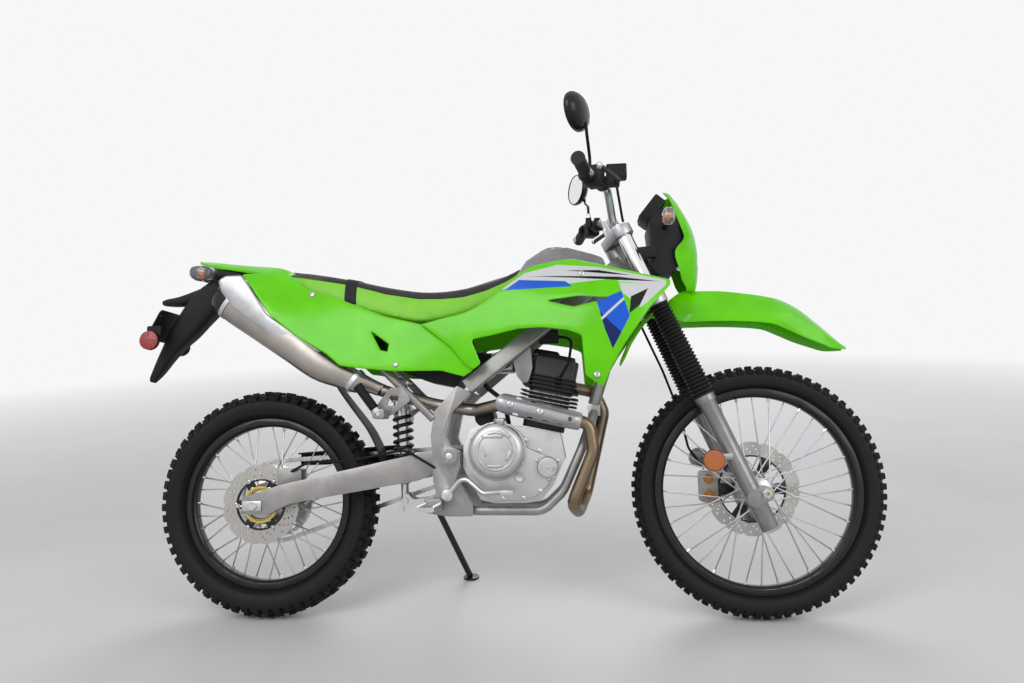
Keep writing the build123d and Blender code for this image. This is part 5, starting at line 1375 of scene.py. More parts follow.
def upright(points):
    """Metres as packed back to upright mm."""
    return (np.asarray(points) - np.array(SHIFT)) @ np.array(LEANED) * 1000


bar_mesh = upright([v.co for v in frame["nodes"]["grips"].data.vertices])
right_grip = bar_mesh[bar_mesh[:, 1] < 0]
middle_out = right_grip[right_grip[:, 1] < right_grip[:, 1].min() + 3].mean(0)
middle_in = right_grip[right_grip[:, 1] > right_grip[:, 1].max() - 3].mean(0)
grips = []
for side in (1, -1):
    a = Vector((middle_in[0], middle_in[1] * side, middle_in[2]))
    b = Vector((middle_out[0], middle_out[1] * side, middle_out[2]))
    length = (b - a).length
    section = [(0, 11.4), (0, 21), (3, 21.5), (4, 16.4)]
    for n in range(22):
        base = 8 + n * (length - 18) / 22
        section += [(base, 15.4), (base + 1.2, 16.5), (base + 3.0, 16.5), (base + 4.0, 15.4)]
    section += [
        (length - 8, 17.8), (length - 1.5, 17.8), (length, 16), (length, 0.1), (length - 2, 0.1),
        (length - 2, 11.2)
    ]
    grips.append(revolved("grip", a, b - a, section, 24))
settle(joined("grips_ribbed", *grips), gaiter_rubber, "steering", "black_rubber", "grips", crease=40)
MIRROR_AT = (914, 325, 1320)
GRIP_WAY = (Vector(middle_out) - Vector(middle_in)).normalized()
perch = Vector(middle_in) + GRIP_WAY * (-(abs(middle_in[1]) - 215) / abs(GRIP_WAY.y))
front_hose = tube(
    "front_brake_hose",
    bent(
        [
            (1256, 108, 398), (1214, 112, 460), (1196, 130, 560), (1150, 130, 690), (1085, 128, 840),
            (1072, 66, 985), (1034, -60, 1110), tuple(perch + Vector((66, 20, 22)))
        ],
        [40, 60, 90, 90, 60, 40], 10
    ),
    3.6, 10
)
settle(front_hose, black_rubber, "steering", "black_rubber")
mirror_glass = Finish("mirror_glass", Metallic=1.0, Base_Color=(0.8, 0.82, 0.84), Roughness=0.03)
spot = mirror_glass.place()
mirror_glass.set(Roughness=mirror_glass.noise(spot, 0.05, 2) * 0.03 + 0.01)
parts = []
black_gloss = moulded("black_gloss_plastic", (0.006, 0.006, 0.007), 0.25, coat=0.15)
for side in (-1, 1):
    x, y, z = MIRROR_AT
    yaw = math.radians(-24 * side)
    turned_to = Matrix.Rotation(-yaw, 3, "Z")

    def oval(ahead, share, count=40):
        return [
            tuple(
                Vector((x, side * y, z))
                + turned_to @ Vector(
                    (
                        ahead, 62 * share * math.cos(math.tau * k / count),
                        51 * share * math.sin(math.tau * k / count)
                    )
                )
            )
            for k in range(count)
        ]

    shell = ringed_loft(
        "mirror_shell",
        [
            oval(-9, 0.9), oval(-12, 0.955), oval(-9, 0.995), oval(-2, 1.0), oval(6, 0.94), oval(14, 0.8),
            oval(20, 0.58), oval(23, 0.32), oval(24, 0.08)
        ]
    )
    glass = ringed_loft("mirror_face", [oval(-10.5, 0.9), oval(-10.8, 0.88), oval(-10.8, 0.02)])
    foot = Vector((perch.x, side * abs(perch.y), perch.z + 24.3))
    neck = Vector((x, side * y, z)) + turned_to @ Vector((18, -side * 8, -30))
    stem = tube(
        "mirror_stem",
        bent(
            [
                foot + Vector((0, 0, 10)), foot + Vector((0, side * 6, 40)), neck
                + Vector((2, -side * 16, -22)), neck
            ],
            [30, 24], 9
        ),
        4.4, 12
    )
    nut = revolved(
        "mirror_lock_nut", foot, (0, 0, 1), [(0, 0.1), (0, 8.5), (6, 8.5), (7, 7.5), (12, 7), (12, 0.1)], 6
    )
    boss = revolved(
        "mirror_boss", foot - Vector((0, 0, 30)), (0, 0, 1),
        [(0, 0.1), (0, 12), (26, 9.5), (30, 9), (30, 0.1)], 18
    )
    dress(boss, black_plastic)
    dress(shell, black_gloss)
    dress(glass, mirror_glass)
    dress(stem, black_paint)
    dress(nut, dull_steel)
    parts += [shell, glass, stem, nut, boss]
settle(joined("mirror_pair", *parts), None, "steering", "black_plastic", "mirrors", crease=40)
lever_ends = []
for side in (-1, 1):
    tip = Vector((963, side * 384, 1154))
    ball = revolved(
        "lever_ball", tip + Vector((0, side * -9, 0)), (0, side, 0),
        [(0, 0.1), (1, 4), (5, 7.5), (10, 8.2), (15, 7.5), (19, 4), (20, 0.1)], 16
    )
    lever_ends.append(ball)
settle(joined("lever_ends", *lever_ends), clean_silver, "steering", "steel")


# ---- Headlamp, mask and meter. A green moulding wraps the lamp, its opening cut through; a bright bowl
# sits behind a domed clear lens, and a black box carries the meter's screen.
softened("headlamp_housing_and_meter", black_plastic, 5)
# (z, front x, half width, back x) from the top down
MASK_ROWS = [
    (1187, 1177, 38, 1168), (1165, 1190, 52, 1170), (1135, 1206, 62, 1176), (1100, 1222, 74, 1186),
    (1070, 1233, 82, 1194), (1040, 1240, 87, 1200),
    (1012, 1244, 89, 1178), (990, 1245, 88, 1174), (955, 1244, 82, 1184), (925, 1241, 72, 1192),
    (903, 1236, 62, 1204), (896, 1228, 56, 1210),
]
rows = []


def mask_half(front, wide, back):
    flat = wide * 0.56
    return [
        (front, 0), (front - 1, flat * 0.5), (front - 4, flat), (front - 11, flat + (wide - flat) * 0.5),
        (front - 22, wide - 3),
        ((front - 22) * 0.5 + back * 0.5, wide), (back, wide),
    ]


for z, front, wide, back in MASK_ROWS:
    half = mask_half(front, wide, min(back, front - 23))
    rows.append([(x, y, z) for x, y in reversed(half)] + [(x, -y, z) for x, y in half[1:]])
mask = sheet_loft("headlamp_mask_moulding", rows, 3.2)
facing_out(mask.data)
cutter = rounded_box("lens_cutter", (1190, -57, 957), (1290, 57, 1049), 24)
modifier(mask, "BOOLEAN", "lamp_opening", operation="DIFFERENCE", solver="EXACT", object=cutter)
baked(mask)
bpy.data.objects.remove(cutter)
GREEN = (0.155, 0.74, 0.0)
green_plastic = moulded("green_plastic", GREEN, 0.22, coat=0.1)
settle(mask, green_plastic, "steering", "green_plastic", "headlamp_mask", crease=30)
clear_plastic = Finish(
    "clear_lens", Base_Color=(0.95, 0.97, 0.98), Roughness=0.04, IOR=1.49, Transmission_Weight=0.9,
    Coat_Weight=0.3
)
spot = clear_plastic.place()
clear_plastic.set(Roughness=clear_plastic.noise(spot, 0.1, 3) * 0.04 + 0.02)
mirror_bright = metal("reflector", (0.85, 0.86, 0.88), 0.1, 0.0, 0.5, 0.02)
bowl = turned(
    "headlamp_reflector", (0, 0, 0),
    [(-34, 6), (-33, 14), (-22, 30), (-4, 44), (0, 45), (0, 43), (-5, 41), (-23, 27), (-35, 10), (-36, 6)],
    32
)


def put(piece, columns):
    """Set a piece's points from their x, y and z columns in upright mm."""
    spots = np.stack(columns, 1) @ np.array(LEANED).T / 1000 + np.array(SHIFT)
    piece.data.vertices.foreach_set("co", spots.ravel().astype(np.float32))


spots = upright([v.co for v in bowl.data.vertices])
put(bowl, [1202 + spots[:, 1], spots[:, 0] * 1.15, 1003 + spots[:, 2] * 0.92])
settle(bowl, mirror_bright, "steering", "clear_lens")
spans = np.linspace(-55, 55, 13)
rows = []
for z in np.linspace(959, 1047, 9):
    front = float(np.interp(z, [955, 990, 1012, 1040, 1070], [1244, 1245, 1244, 1240, 1233]))
    rows.append(
        [
            (front - 3 - 5 * (abs(y) / 50) ** 2 - (3 if abs(y) > 50 or z in (959, 1047) else 0), y, z)
            for y in spans
        ]
    )
lens = sheet_loft("headlamp_lens_dome", rows, 2.4)
if np.mean([face.normal.x for face in lens.data.polygons]) < -0.5:
    lens.data.flip_normals()
settle(lens, clear_plastic, "steering", "clear_lens", "headlamp_lens")
surround = rounded_box("lamp_bezel", (1206, -62, 952), (1226, 62, 1054), 22)
hollow = rounded_box("bezel_cutter", (1200, -54, 960), (1240, 54, 1046), 20)
modifier(surround, "BOOLEAN", "hollow", operation="DIFFERENCE", solver="EXACT", object=hollow)
baked(surround)
bpy.data.objects.remove(hollow)
settle(surround, black_plastic, "steering", "black_plastic")
screen = shape(
    "meter_screen", [(x, y, z) for x, z in ((1083.5, 1121), (1108, 1149.5)) for y in (-38, 38)]
    + [(x - 1.2, y, z + 1.2) for x, z in ((1083.5, 1121), (1108, 1149.5)) for y in (-36, 36)],
    [(0, 1, 3, 2), (4, 5, 7, 6), (0, 1, 5, 4), (1, 3, 7, 5), (3, 2, 6, 7), (2, 0, 4, 6)]
)
settle(screen, black_gloss, "steering", "black_plastic")


# ---- Turn signals. Rounded black bodies on rubber stalks, with a clear lens outwards over an
# amber bulb.
amber_bulb = Finish("amber_bulb", Base_Color=(0.75, 0.15, 0.0), Roughness=0.3)
spot = amber_bulb.place()
amber_bulb.set(Roughness=amber_bulb.noise(spot, 0.3, 2) * 0.1 + 0.2)
pieces = []


def signal(centre, side, tall, wide, back_finish, stalk_from):
    """One lamp drawn from its stalk out to its lens along Y."""
    x, y, z = centre

    def rim(out, share):
        line = []
        for k in range(32):
            c, d = math.cos(math.tau * k / 32), math.sin(math.tau * k / 32)
            line.append((
                x + wide / 2 * share * math.copysign(abs(c) ** 0.7, c), side * (y + out),
                z + tall / 2 * share * math.copysign(abs(d) ** 0.7, d)
            ))
        return line

    body_rings = ((0, 0.42), (3, 0.7), (12, 0.92), (24, 1.0), (30, 1.0))
    lens_rings = ((30, 0.97), (44, 0.95), (54, 0.86), (59, 0.7), (61, 0.35), (61.5, 0.05))
    body = ringed_loft("signal_body", [rim(*ring) for ring in body_rings])
    cover = ringed_loft("signal_lens", [rim(*ring) for ring in lens_rings])
    bulb = revolved(
        "signal_bulb", (x, side * (y + 31), z), (0, side, 0),
        [(0, 0.1), (0, 5), (6, 6.5), (12, 6), (16, 3), (17, 0.1)], 16
    )
    stalk = tube(
        "signal_stalk",
        bent([(stalk_from[0], side * stalk_from[1], stalk_from[2]), (x, side * (y + 2), z)], [], 9), 8, 14
    )
    dress(body, back_finish)
    dress(cover, clear_plastic)
    dress(bulb, amber_bulb)
    dress(stalk, black_rubber)
    return [body, cover, bulb, stalk]


for side in (-1, 1):
    pieces += signal((1150, 134, 1080), side, 46, 34, black_plastic, (1150, 74, 1075))
settle(joined("front_signals", *pieces), None, "steering", "black_plastic", "front_turn_signals", crease=40)
pieces = []
for side in (-1, 1):
    pieces += signal((-150, 116, 972), side, 42, 70, black_plastic, (-134, 62, 975))
settle(joined("rear_signals", *pieces), None, "chassis", "black_plastic", "rear_turn_signals", crease=40)


# ---- Front fender. One green moulding: a ridged blade ahead of the fork and a narrow flap behind it,
# bolted up under the lower clamp.
# (x, crown z, crease half width, crease z, lower edge half width and z, width of the crown's flat)
BLADE_ROWS = [
    (1114, 847, 42, 839, 42, 836, 14), (1136, 857, 44, 842, 44, 833, 16), (1162, 880, 51, 836, 53, 820, 18),
    (1193, 900, 56, 826, 60, 808, 20), (1224, 902, 62, 835, 65, 808, 22), (1300, 900, 63, 834, 66, 808, 24),
    (1376, 890, 63, 833, 66, 804, 24), (1430, 880, 63, 831, 66, 797, 23), (1470, 868, 62, 826, 65, 780, 22),
    (1515, 842, 58, 803, 62, 758, 20), (1560, 804, 50, 774, 54, 740, 17), (1588, 779, 43, 757, 46, 729, 14),
    (1612, 757, 34, 741, 36, 726, 11), (1637, 735, 18, 730, 20, 726, 7),
]


def both_sides(x, half):
    """A row across the machine at x, from the (y, z) points of its left half, crown first."""
    return [(x, y, z) for y, z in reversed(half)] + [(x, -y, z) for y, z in half[1:]]


rows = []
for x, crown, w, z, low_w, low_z, flat in BLADE_ROWS:
    half = [
        (0, crown), (flat * 0.8, crown - 0.6), (flat, crown - 2),
        (flat + (w - flat) * 0.5, crown - 2 - (crown - 2 - z) * 0.42), (w - 2, z + 2.5), (w, z),
        (w + (low_w - w) * 0.6, (z + low_z) / 2), (low_w, low_z)
    ]
    rows.append(both_sides(x, half))
blade = sheet_loft("fender_blade", rows)
# the flap: (x, z, half width, how far its sides turn down)
FLAP_ROWS = [
    (1124, 851, 40, 7), (1108, 842, 42, 7), (1086, 823, 44, 9), (1062, 792, 47, 10), (1040, 757, 48, 10),
    (1024, 722, 48, 9), (1016, 702, 46, 6),
]
rows = []
for n, (x, z, w, turn_down) in enumerate(FLAP_ROWS):
    nx, nz = (0.41, -0.91) if n < 2 else (0.80, -0.60)
    half = [(0, 0), (w * 0.7, 0), (w * 0.93, turn_down * 0.25), (w, turn_down)]
    rows.append(
        [(x + nx * d, y, z + nz * d) for y, d in reversed(half)]
        + [(x + nx * d, -y, z + nz * d) for y, d in half[1:]]
    )
flap = sheet_loft("fender_flap", rows)
settle(
    joined("front_fender_moulding", blade, flap), green_plastic, "steering", "green_plastic",
    "front_fender", crease=24
)


# ---- Exhaust header. Stainless tube bent and welded at its joints, heat-tinted towards the head, with a
# perforated guard clamped on the right run.
tinted = Finish("heat_tinted_steel", Metallic=1.0)
spot = tinted.place()
along, _, up = tinted.axes(spot)
heat = (tinted.noise(spot, 0.03, 3) * 60 + (along - 620)).rise(0, 380)
cool, warm, hot = (0.28, 0.255, 0.225), (0.29, 0.215, 0.14), (0.19, 0.145, 0.095)
colour = tinted.mix(heat.rise(0.5, 1.0), tinted.mix(heat.rise(0.0, 0.5), cool, warm), hot)
tinted.set(Base_Color=colour, Roughness=tinted.noise(spot, 0.2, 5) * 0.2 + 0.24)
tinted.bump(tinted.noise(spot, 0.5, 5), 0.05, 0.0004)
# the corners of the run from the port to the muffler: (x, y, z), and the bend radius at each
HEADER_ROUTE = [
    (864, 31, 642), (944, 42, 624), (969, 46, 566), (953, 48, 500), (914, 42, 340), (890, -32, 292),
    (874, -114, 320),
    (934, -116, 460), (925, -118, 532), (700, -126, 590), (610, -73, 574), (500, -71, 592), (420, -82, 614),
    (352, -112, 634),
]
HEADER_BENDS = [30, 40, 60, 44, 40, 44, 60, 34, 70, 60, 100, 60]
header_line = bent(HEADER_ROUTE, HEADER_BENDS, 7)
pipe = tube("header_pipe", header_line, 17, 20)
beads = []
for at in (3, len(header_line) // 2, len(header_line) - 12):
    here, on = header_line[at], header_line[at + 1]
    bead = revolved(
        "weld_bead", here, on - here, [(-2.5, 16.5), (-2, 17.8), (0, 18.4), (2, 17.8), (2.5, 16.5)], 20
    )
    beads.append(bead)
collar = revolved(
    "port_collar", (862, 30, 642), (80, 11, -18), [(0, 17), (0, 26), (7, 26), (9, 20), (9, 17)], 20
)
beads.append(collar)
settle(joined("header_assembly", pipe, *beads), tinted, "chassis", "titanium_steel", "exhaust_header")
guard_silver = painted("guard_silver", (0.44, 0.44, 0.455), 0.36, flake=0.7)
GUARD_FROM, GUARD_TO = Vector((676, -126, 596)), Vector((902, -119, 537))
guard_way = (GUARD_TO - GUARD_FROM).normalized()
guard_up = Vector((0, 0, 1)) - guard_way * guard_way.z
guard_up.normalize()
guard_out = guard_way.cross(guard_up)
if guard_out.y > 0:
    guard_out = -guard_out
STEPS, SPAN = 46, 16
points, faces = [], []
for n in range(STEPS + 1):
    u = n / STEPS
    reach = 88 * min(1, (u / 0.12 + 0.05)) ** 0.5 * min(1, ((1 - u) / 0.1 + 0.72))
    radius = 27 - 3.0 * u + 2 * math.sin(math.pi * u)
    middle = GUARD_FROM + (GUARD_TO - GUARD_FROM) * u
    for k in range(SPAN + 1):
        angle = math.radians(-reach + 2 * reach * k / SPAN)
        bulge = radius + (3.0 if 0.06 < u < 0.94 and abs(angle) < 0.5 else 0)
        points.append(
            tuple(middle + guard_out * math.cos(angle) * bulge + guard_up * math.sin(angle) * bulge)
        )
for n in range(STEPS):
    for k in range(SPAN):
        slot_here = (
            k in (12, 13) and n % 8 in (2, 3, 4) and 6 < n < 30
        ) or (k in (2, 3) and n % 8 in (2, 3, 4) and 6 < n < 38)
        if slot_here or (k in (7, 8) and n in (39, 40)):
            continue
        a = n * (SPAN + 1) + k
        faces.append((a, a + 1, a + SPAN + 2, a + SPAN + 1))
guard = shape("header_guard", points, faces)
spread = np.mean([face.normal.y for face in guard.data.polygons])
if spread > 0:
    guard.data.flip_normals()
modifier(guard, "SUBSURF", "pressed", levels=1, render_levels=1)
modifier(guard, "SOLIDIFY", "sheet", thickness=0.0014, offset=-1)
baked(guard)
settle(guard, guard_silver, "chassis", "titanium_steel")
# (share of the guard's length, head radius)
GUARD_SCREWS = [(0.17, 10), (0.52, 10)]
spots = []
for share, size_of in GUARD_SCREWS:
    spots.append(
        (tuple(GUARD_FROM + (GUARD_TO - GUARD_FROM) * share + guard_out * 31), tuple(guard_out), size_of)
    )
screws("guard_screws", spots, dull_steel, "chassis", "steel")


# ---- Muffler. A brushed oval can with rolled seams, a black end cap and a silver shield bolted on its
# outer side.
brushed = Finish("brushed_muffler_steel", Metallic=1.0)
spot = brushed.place()
lines = brushed.node("Mapping", _0=spot, _2=(0, math.radians(38), 0), _3=(0.02, 1.6, 1.6)).outputs[0]
scratch = brushed.noise(lines, 0.6, 4)
brushed.set(
    Base_Color=brushed.mix(
        brushed.noise(spot, 0.02, 4).rise(0.3, 0.7), (0.30, 0.27, 0.24), (0.36, 0.335, 0.31)
    )
)
brushed.set(Roughness=scratch * 0.2 + 0.24)
brushed.bump(scratch, 0.08, 0.0003)
# muffler body: (x, y, z, tall, wide), each row square to its own line
MUFFLER_ROWS = [
    (356, -112, 633, 38, 38), (330, -114, 643, 42, 42), (296, -116, 652, 60, 56), (252, -118, 672, 72, 66),
    (190, -120, 702, 86, 77),
    (110, -119, 764, 100, 80), (20, -118, 834, 116, 83), (-44, -118, 883, 126, 84), (-72, -118, 904, 122, 82),
]
way = Vector((-0.78, -0.02, 0.62)).normalized()
rise_way = Vector((0.62, 0, 0.78)).normalized()


def oval_ring(x, y, z, tall, wide, power=2.6, count=32):
    ring = []
    for n in range(count):
        angle = math.tau * n / count
        c, s = math.cos(angle), math.sin(angle)
        a = math.copysign(abs(c) ** (2 / power), c) * wide / 2
        b = math.copysign(abs(s) ** (2 / power), s) * tall / 2
        ring.append((x + rise_way.x * b, y + a, z + rise_way.z * b))
    return ring


can = ringed_loft("muffler_can", [oval_ring(*row) for row in smoothed(MUFFLER_ROWS)])
bevelled(can, 0.0015, angle=50)
dress(can, brushed)
cap_rows = [
    (-70, -118, 902, 125, 84), (-80, -118, 910, 126, 84), (-96, -118, 922, 110, 76),
    (-102, -118, 926, 94, 66), (-102, -118, 926, 60, 42), (-92, -118, 918, 56, 38)
]
cap = ringed_loft("muffler_cap", [oval_ring(*row) for row in cap_rows])
dress(cap, black_paint)
# bands, the outlet and the mount
bands = []
for share, more in ((0.30, 3), (0.94, 2.4)):
    row = np.array(smoothed(MUFFLER_ROWS))[int(share * 32)]
    x, y, z, tall, wide = row
    band = ringed_loft(
        "muffler_band",
        [
            oval_ring(x, y, z, tall + 1, wide + 1), oval_ring(x, y, z, tall + more * 2, wide + more * 2),
            oval_ring(x + way.x * 12, y, z + way.z * 12, tall + more * 2 + 2, wide + more * 2),
            oval_ring(x + way.x * 12, y, z + way.z * 12, tall, wide)
        ]
    )
    dress(band, dull_steel)
    bands.append(band)
outlet = tube("muffler_outlet", [(-86, -118, 914), (-104, -118, 927), (-112, -118, 924)], 15, 16)
dress(outlet, dull_steel)
hanger = ringed_loft(
    "muffler_hanger", [[(-13, y, 886), (13, y, 886), (13, y, 904), (-13, y, 904)] for y in (-66, -92)]
)
dress(hanger, black_paint)
muffler = joined("muffler_assembly", can, cap, *bands, outlet, hanger)
settle(muffler, None, "chassis", "titanium_steel", "muffler", crease=28)
# the shield on the can's outer face: (x, z, corner radius)
SHIELD_OUTLINE = [
    (-100, 948, 12), (-78, 960, 8), (-34, 961, 12), (-14, 934, 14), (44, 846, 60), (196, 744, 6),
    (186, 736, 6), (96, 758, 60), (-56, 868, 22), (-90, 916, 14)
]
shield = skin(
    "muffler_shield", SHIELD_OUTLINE, lambda x, z: -164 + 0.055 * max(x, 0)
    + 0.0022 * (0.62 * (x - 40) + 0.78 * (z - 840)) ** 2, [], 1.6, 2.0, 8
)
settle(shield, guard_silver, "chassis", "titanium_steel")


# ---- Fuel tank. A blow-moulded plastic tank painted silver grey where it shows, held over the frame
# between its shrouds; a black plastic key cap closes its neck.
tank_paint = painted("tank_grey", (0.20, 0.20, 0.21), 0.34, flake=0.5)
softened("fuel_tank", tank_paint, 5, 4)
cap = turned(
    "filler_cap", (0, 0, 0),
    [(0, 0.1), (0, 39), (5, 39), (6, 38), (6, 34), (18, 33), (21, 31), (22, 27), (20, 25), (20, 0.1)], 48
)
spots = upright([v.co for v in cap.data.vertices])
put(cap, [841 + spots[:, 0], spots[:, 2], 1019 + spots[:, 1]])
facing_out(cap.data)
settle(cap, black_plastic, "chassis", "black_plastic")


# ---- Tank shrouds. Injection-moulded green wings bolted to the tank, each with a scoop, and a printed
# film of white and blue fields with tapering lines.
# (x, its three (y, z)) on the right side, top, middle and bottom
SHROUD_STATIONS = [
    (450, [(-140, 960), (-157, 800), (-165, 640)]), (600, [(-124, 980), (-158, 820), (-150, 620)]),
    (700, [(-122, 1000), (-172, 860), (-152, 620)]), (820, [(-132, 1000), (-198, 850), (-170, 600)]),
    (940, [(-140, 990), (-214, 850), (-186, 600)]), (1050, [(-140, 980), (-214, 860), (-190, 700)]),
    (1160, [(-150, 960), (-190, 890), (-186, 780)]),
]
# (x, z, corner radius)
SHROUD_OUTLINE = [
    (746, 940, 12), (784, 962, 40), (840, 972, 30), (890, 978, 20), (966, 957, 60), (1052, 932, 0),
    (1146, 905, 5),
    (1145, 890, 6), (1089, 829, 60), (1022, 737, 60), (985, 675, 40), (963, 625, 10), (917, 657, 14),
    (910, 760, 14),
    (872, 775, 30), (806, 785, 30), (743, 785, 40), (667, 771, 30), (612, 763, 12), (639, 696, 10),
    (616, 681, 8),
    (597, 694, 10), (553, 747, 30), (473, 809, 4), (530, 824, 0), (591, 837, 60), (625, 851, 60),
    (667, 879, 60), (713, 912, 40),
]
SCOOP = [(818, 857, 3), (905, 865, 12), (990, 857, 3), (890, 836, 14)]


def bowed(stations, degree=4):
    """y over x and z, through stations of x and three (y, z): a parabola up each, smooth between."""
    xs = np.array([row[0] for row in stations], float)
    curves = [[np.polyfit(xs, [row[1][k][j] for row in stations], degree) for j in (0, 1)] for k in range(3)]

    def surface(x, z):
        (y0, z0), (y1, z1), (y2, z2) = [(np.polyval(c[0], x), np.polyval(c[1], x)) for c in curves]
        z = min(max(z, z2 - 40), z0 + 30)
        return (
            y0 * (z - z1) * (z - z2) / ((z0 - z1) * (z0 - z2))
            + y1 * (z - z0) * (z - z2) / ((z1 - z0) * (z1 - z2))
            + y2 * (z - z0) * (z - z1) / ((z2 - z0) * (z2 - z1))
        )

    return surface


shroud_surface = bowed(SHROUD_STATIONS)
shroud = skin("tank_shroud_skins", SHROUD_OUTLINE, shroud_surface, [SCOOP])


def mirrored(piece):
    """The piece and its mirror image over the machine's middle plane, as one mesh."""
    twin = piece.data.copy()
    twin.transform(PACKED @ Matrix.Diagonal((1, -1, 1, 1)) @ PACKED.inverted())
    twin.flip_normals()
    work = bmesh.new()
    work.from_mesh(piece.data)
    work.from_mesh(twin)
    work.to_mesh(piece.data)
    work.free()
    bpy.data.meshes.remove(twin)
    return piece


settle(mirrored(shroud), green_plastic, "chassis", "green_plastic", "tank_shrouds")
# the film's fields, laid one over the other: (finish colour, corners)
WHITE = (0.68, 0.69, 0.70)
BLUE = (0.008, 0.11, 0.68)
NAVY = (0.001, 0.012, 0.13)
INK = (0.006, 0.006, 0.007)
FILM = [
    (
        WHITE,
        [(682, 886), (770, 893), (1000, 893), (1135, 891), (1135, 902), (960, 948), (850, 960), (760, 940)]
    ),
    (WHITE, [(985, 900), (1018, 870), (1034, 806), (1078, 838), (1134, 890), (1134, 903), (1060, 922)]),
    (BLUE, [(704, 893), (890, 893), (870, 909), (746, 921)]),
    (INK, [(772, 930), (1010, 906), (1118, 899), (1010, 916)]),
    (INK, [(800, 944), (1000, 924), (1060, 916), (960, 938)]),
    (GREEN, [(836, 905), (1040, 896), (1090, 893), (1000, 902)]),
    (INK, [(1034, 812), (1062, 834), (1086, 880), (1040, 858)]),
    (BLUE, [(951, 848), (970, 773), (989, 722), (1035, 806), (1016, 874)]),
    (NAVY, [(958, 818), (970, 773), (989, 722), (1012, 764)]),
    (WHITE, [(963, 796), (1023, 850), (1021, 857), (961, 803)]),
]
shroud_film = moulded("shroud_with_film", GREEN, 0.22, coat=0.1)
along, _, up = shroud_film.axes(shroud_film.place())
colour = shroud_film.shader.inputs["Base Color"].links[0].from_socket


def within(along, up, corners, soft=0.5):
    """1 inside a convex polygon of (x, z) corners given anticlockwise, 0 outside."""
    mask = None
    for (x0, z0), (x1, z1) in zip(corners, corners[1:] + corners[:1]):
        length = math.hypot(x1 - x0, z1 - z0)
        edge = (up * (x1 - x0) - along * (z1 - z0) + ((z1 - z0) * x0 - (x1 - x0) * z0)) / length
        mask = edge if mask is None else mask.low(edge)
    return mask.rise(-soft, soft)


for paint, corners in FILM:
    colour = shroud_film.mix(within(along, up, corners), colour, paint)
shroud_film.set(Base_Color=colour)
dress(bpy.data.objects["tank_shroud_skins"], shroud_film)


# ---- Side panels. Green mouldings under the seat, one piece each with a heat slot, held by button-head
# screws as the shrouds are.
# (x, its three (y, z)) on the right side, top, middle and bottom
PANEL_STATIONS = [
    (-62, [(-92, 1020), (-162, 950), (-178, 860)]), (60, [(-98, 1000), (-154, 900), (-178, 820)]),
    (180, [(-108, 930), (-146, 840), (-174, 710)]), (300, [(-124, 890), (-148, 790), (-168, 660)]),
    (450, [(-134, 860), (-152, 760), (-160, 640)]), (660, [(-126, 850), (-142, 740), (-140, 620)]),
]
# (x, z, corner radius)
PANEL_OUTLINE = [
    (-42, 968, 6), (-11, 933, 30), (53, 845, 0), (130, 783, 60), (216, 732, 20), (252, 700, 12),
    (300, 692, 20), (402, 682, 60),
    (529, 681, 40), (590, 664, 8), (618, 682, 8), (553, 749, 30), (473, 811, 6), (372, 836, 80),
    (252, 884, 80), (140, 926, 60),
    (96, 950, 20), (50, 978, 8),
]
panel_surface = bowed(PANEL_STATIONS, 3)
panel = skin(
    "side_panel_skins", PANEL_OUTLINE, panel_surface,
    [[(333, 795, 2), (384, 757, 3), (381, 736, 3), (362, 741, 3)]]
)
settle(mirrored(panel), green_plastic, "chassis", "green_plastic", "side_panels")
# panel and shroud screws
spots = []
for surface, x, z, tilt, wide in (
    (shroud_surface, 914, 930, (0.05, 0.1), 8), (shroud_surface, 947, 657, (0.05, 0.1), 9),
    (panel_surface, 609, 712, (0.05, 0.1), 9), (panel_surface, 160, 905, (0.02, 0.15), 8.5),
    (panel_surface, 405, 700, (0.02, 0.15), 8.5)
):
    for side in (1, -1):
        spots.append(((x, (surface(x, z) - 0.6) * side, z), (tilt[0], -side, tilt[1]), wide))
screws("panel_screws", spots, dull_steel, "chassis", "steel")


# ---- Seat. Foam under stretched vinyl: a black top strip, lighter green sides, a sewn join with piping
# between them, and a webbing strap across the middle.
# (x, top z, y and z of the sewn join, y and z of the lower edge)
SEAT_ROWS = [
    (14, 1000, 56, 988, 60, 974), (60, 994, 72, 980, 78, 962), (155, 979, 88, 962, 98, 908),
    (267, 956, 97, 937, 112, 868),
    (363, 933, 103, 909, 118, 838), (458, 917, 103, 892, 117, 818), (520, 917, 99, 891, 112, 826),
    (583, 925, 94, 897, 104, 842),
    (645, 944, 88, 915, 97, 868), (700, 966, 80, 940, 88, 908), (744, 990, 68, 968, 76, 950),
]
SLACK = 3
rings = []
for x, top, join_y, join_z, low_y, low_z in smoothed(SEAT_ROWS):
    half = [
        (0, top - SLACK), (join_y * 0.45, top - SLACK - 1.5), (join_y * 0.8, top - SLACK - 6),
        (join_y - SLACK, join_z - SLACK),
        ((join_y + low_y) / 2 - SLACK + 1, (join_z + low_z) / 2), (low_y - SLACK, low_z + 6),
        (low_y - SLACK - 8, low_z), (low_y * 0.5, low_z),
    ]
    rings.append([(x, y, z) for y, z in half] + [(x, -y, z) for y, z in reversed(half[1:])])
seat = ringed_loft("seat_cushion", rings)
modifier(seat, "REMESH", "even_net", mode="VOXEL", voxel_size=0.0065, use_smooth_shade=True)
baked(seat)
rest = np.array([v.co for v in seat.data.vertices])
cloth = modifier(seat, "CLOTH", "stuffing")
cloth.settings.use_pressure = True
cloth.settings.uniform_pressure_force = 4
cloth.settings.effector_weights.gravity = 0
cloth.settings.mass = 0.3
cloth.point_cache.frame_start, cloth.point_cache.frame_end = 1, 20
for frame_number in range(1, 21):
    bpy.context.scene.frame_set(frame_number)
puffed = bpy.data.meshes.new_from_object(seat.evaluated_get(bpy.context.evaluated_depsgraph_get()))
seat.modifiers.clear()
seat.data = puffed
bpy.context.scene.frame_set(1)
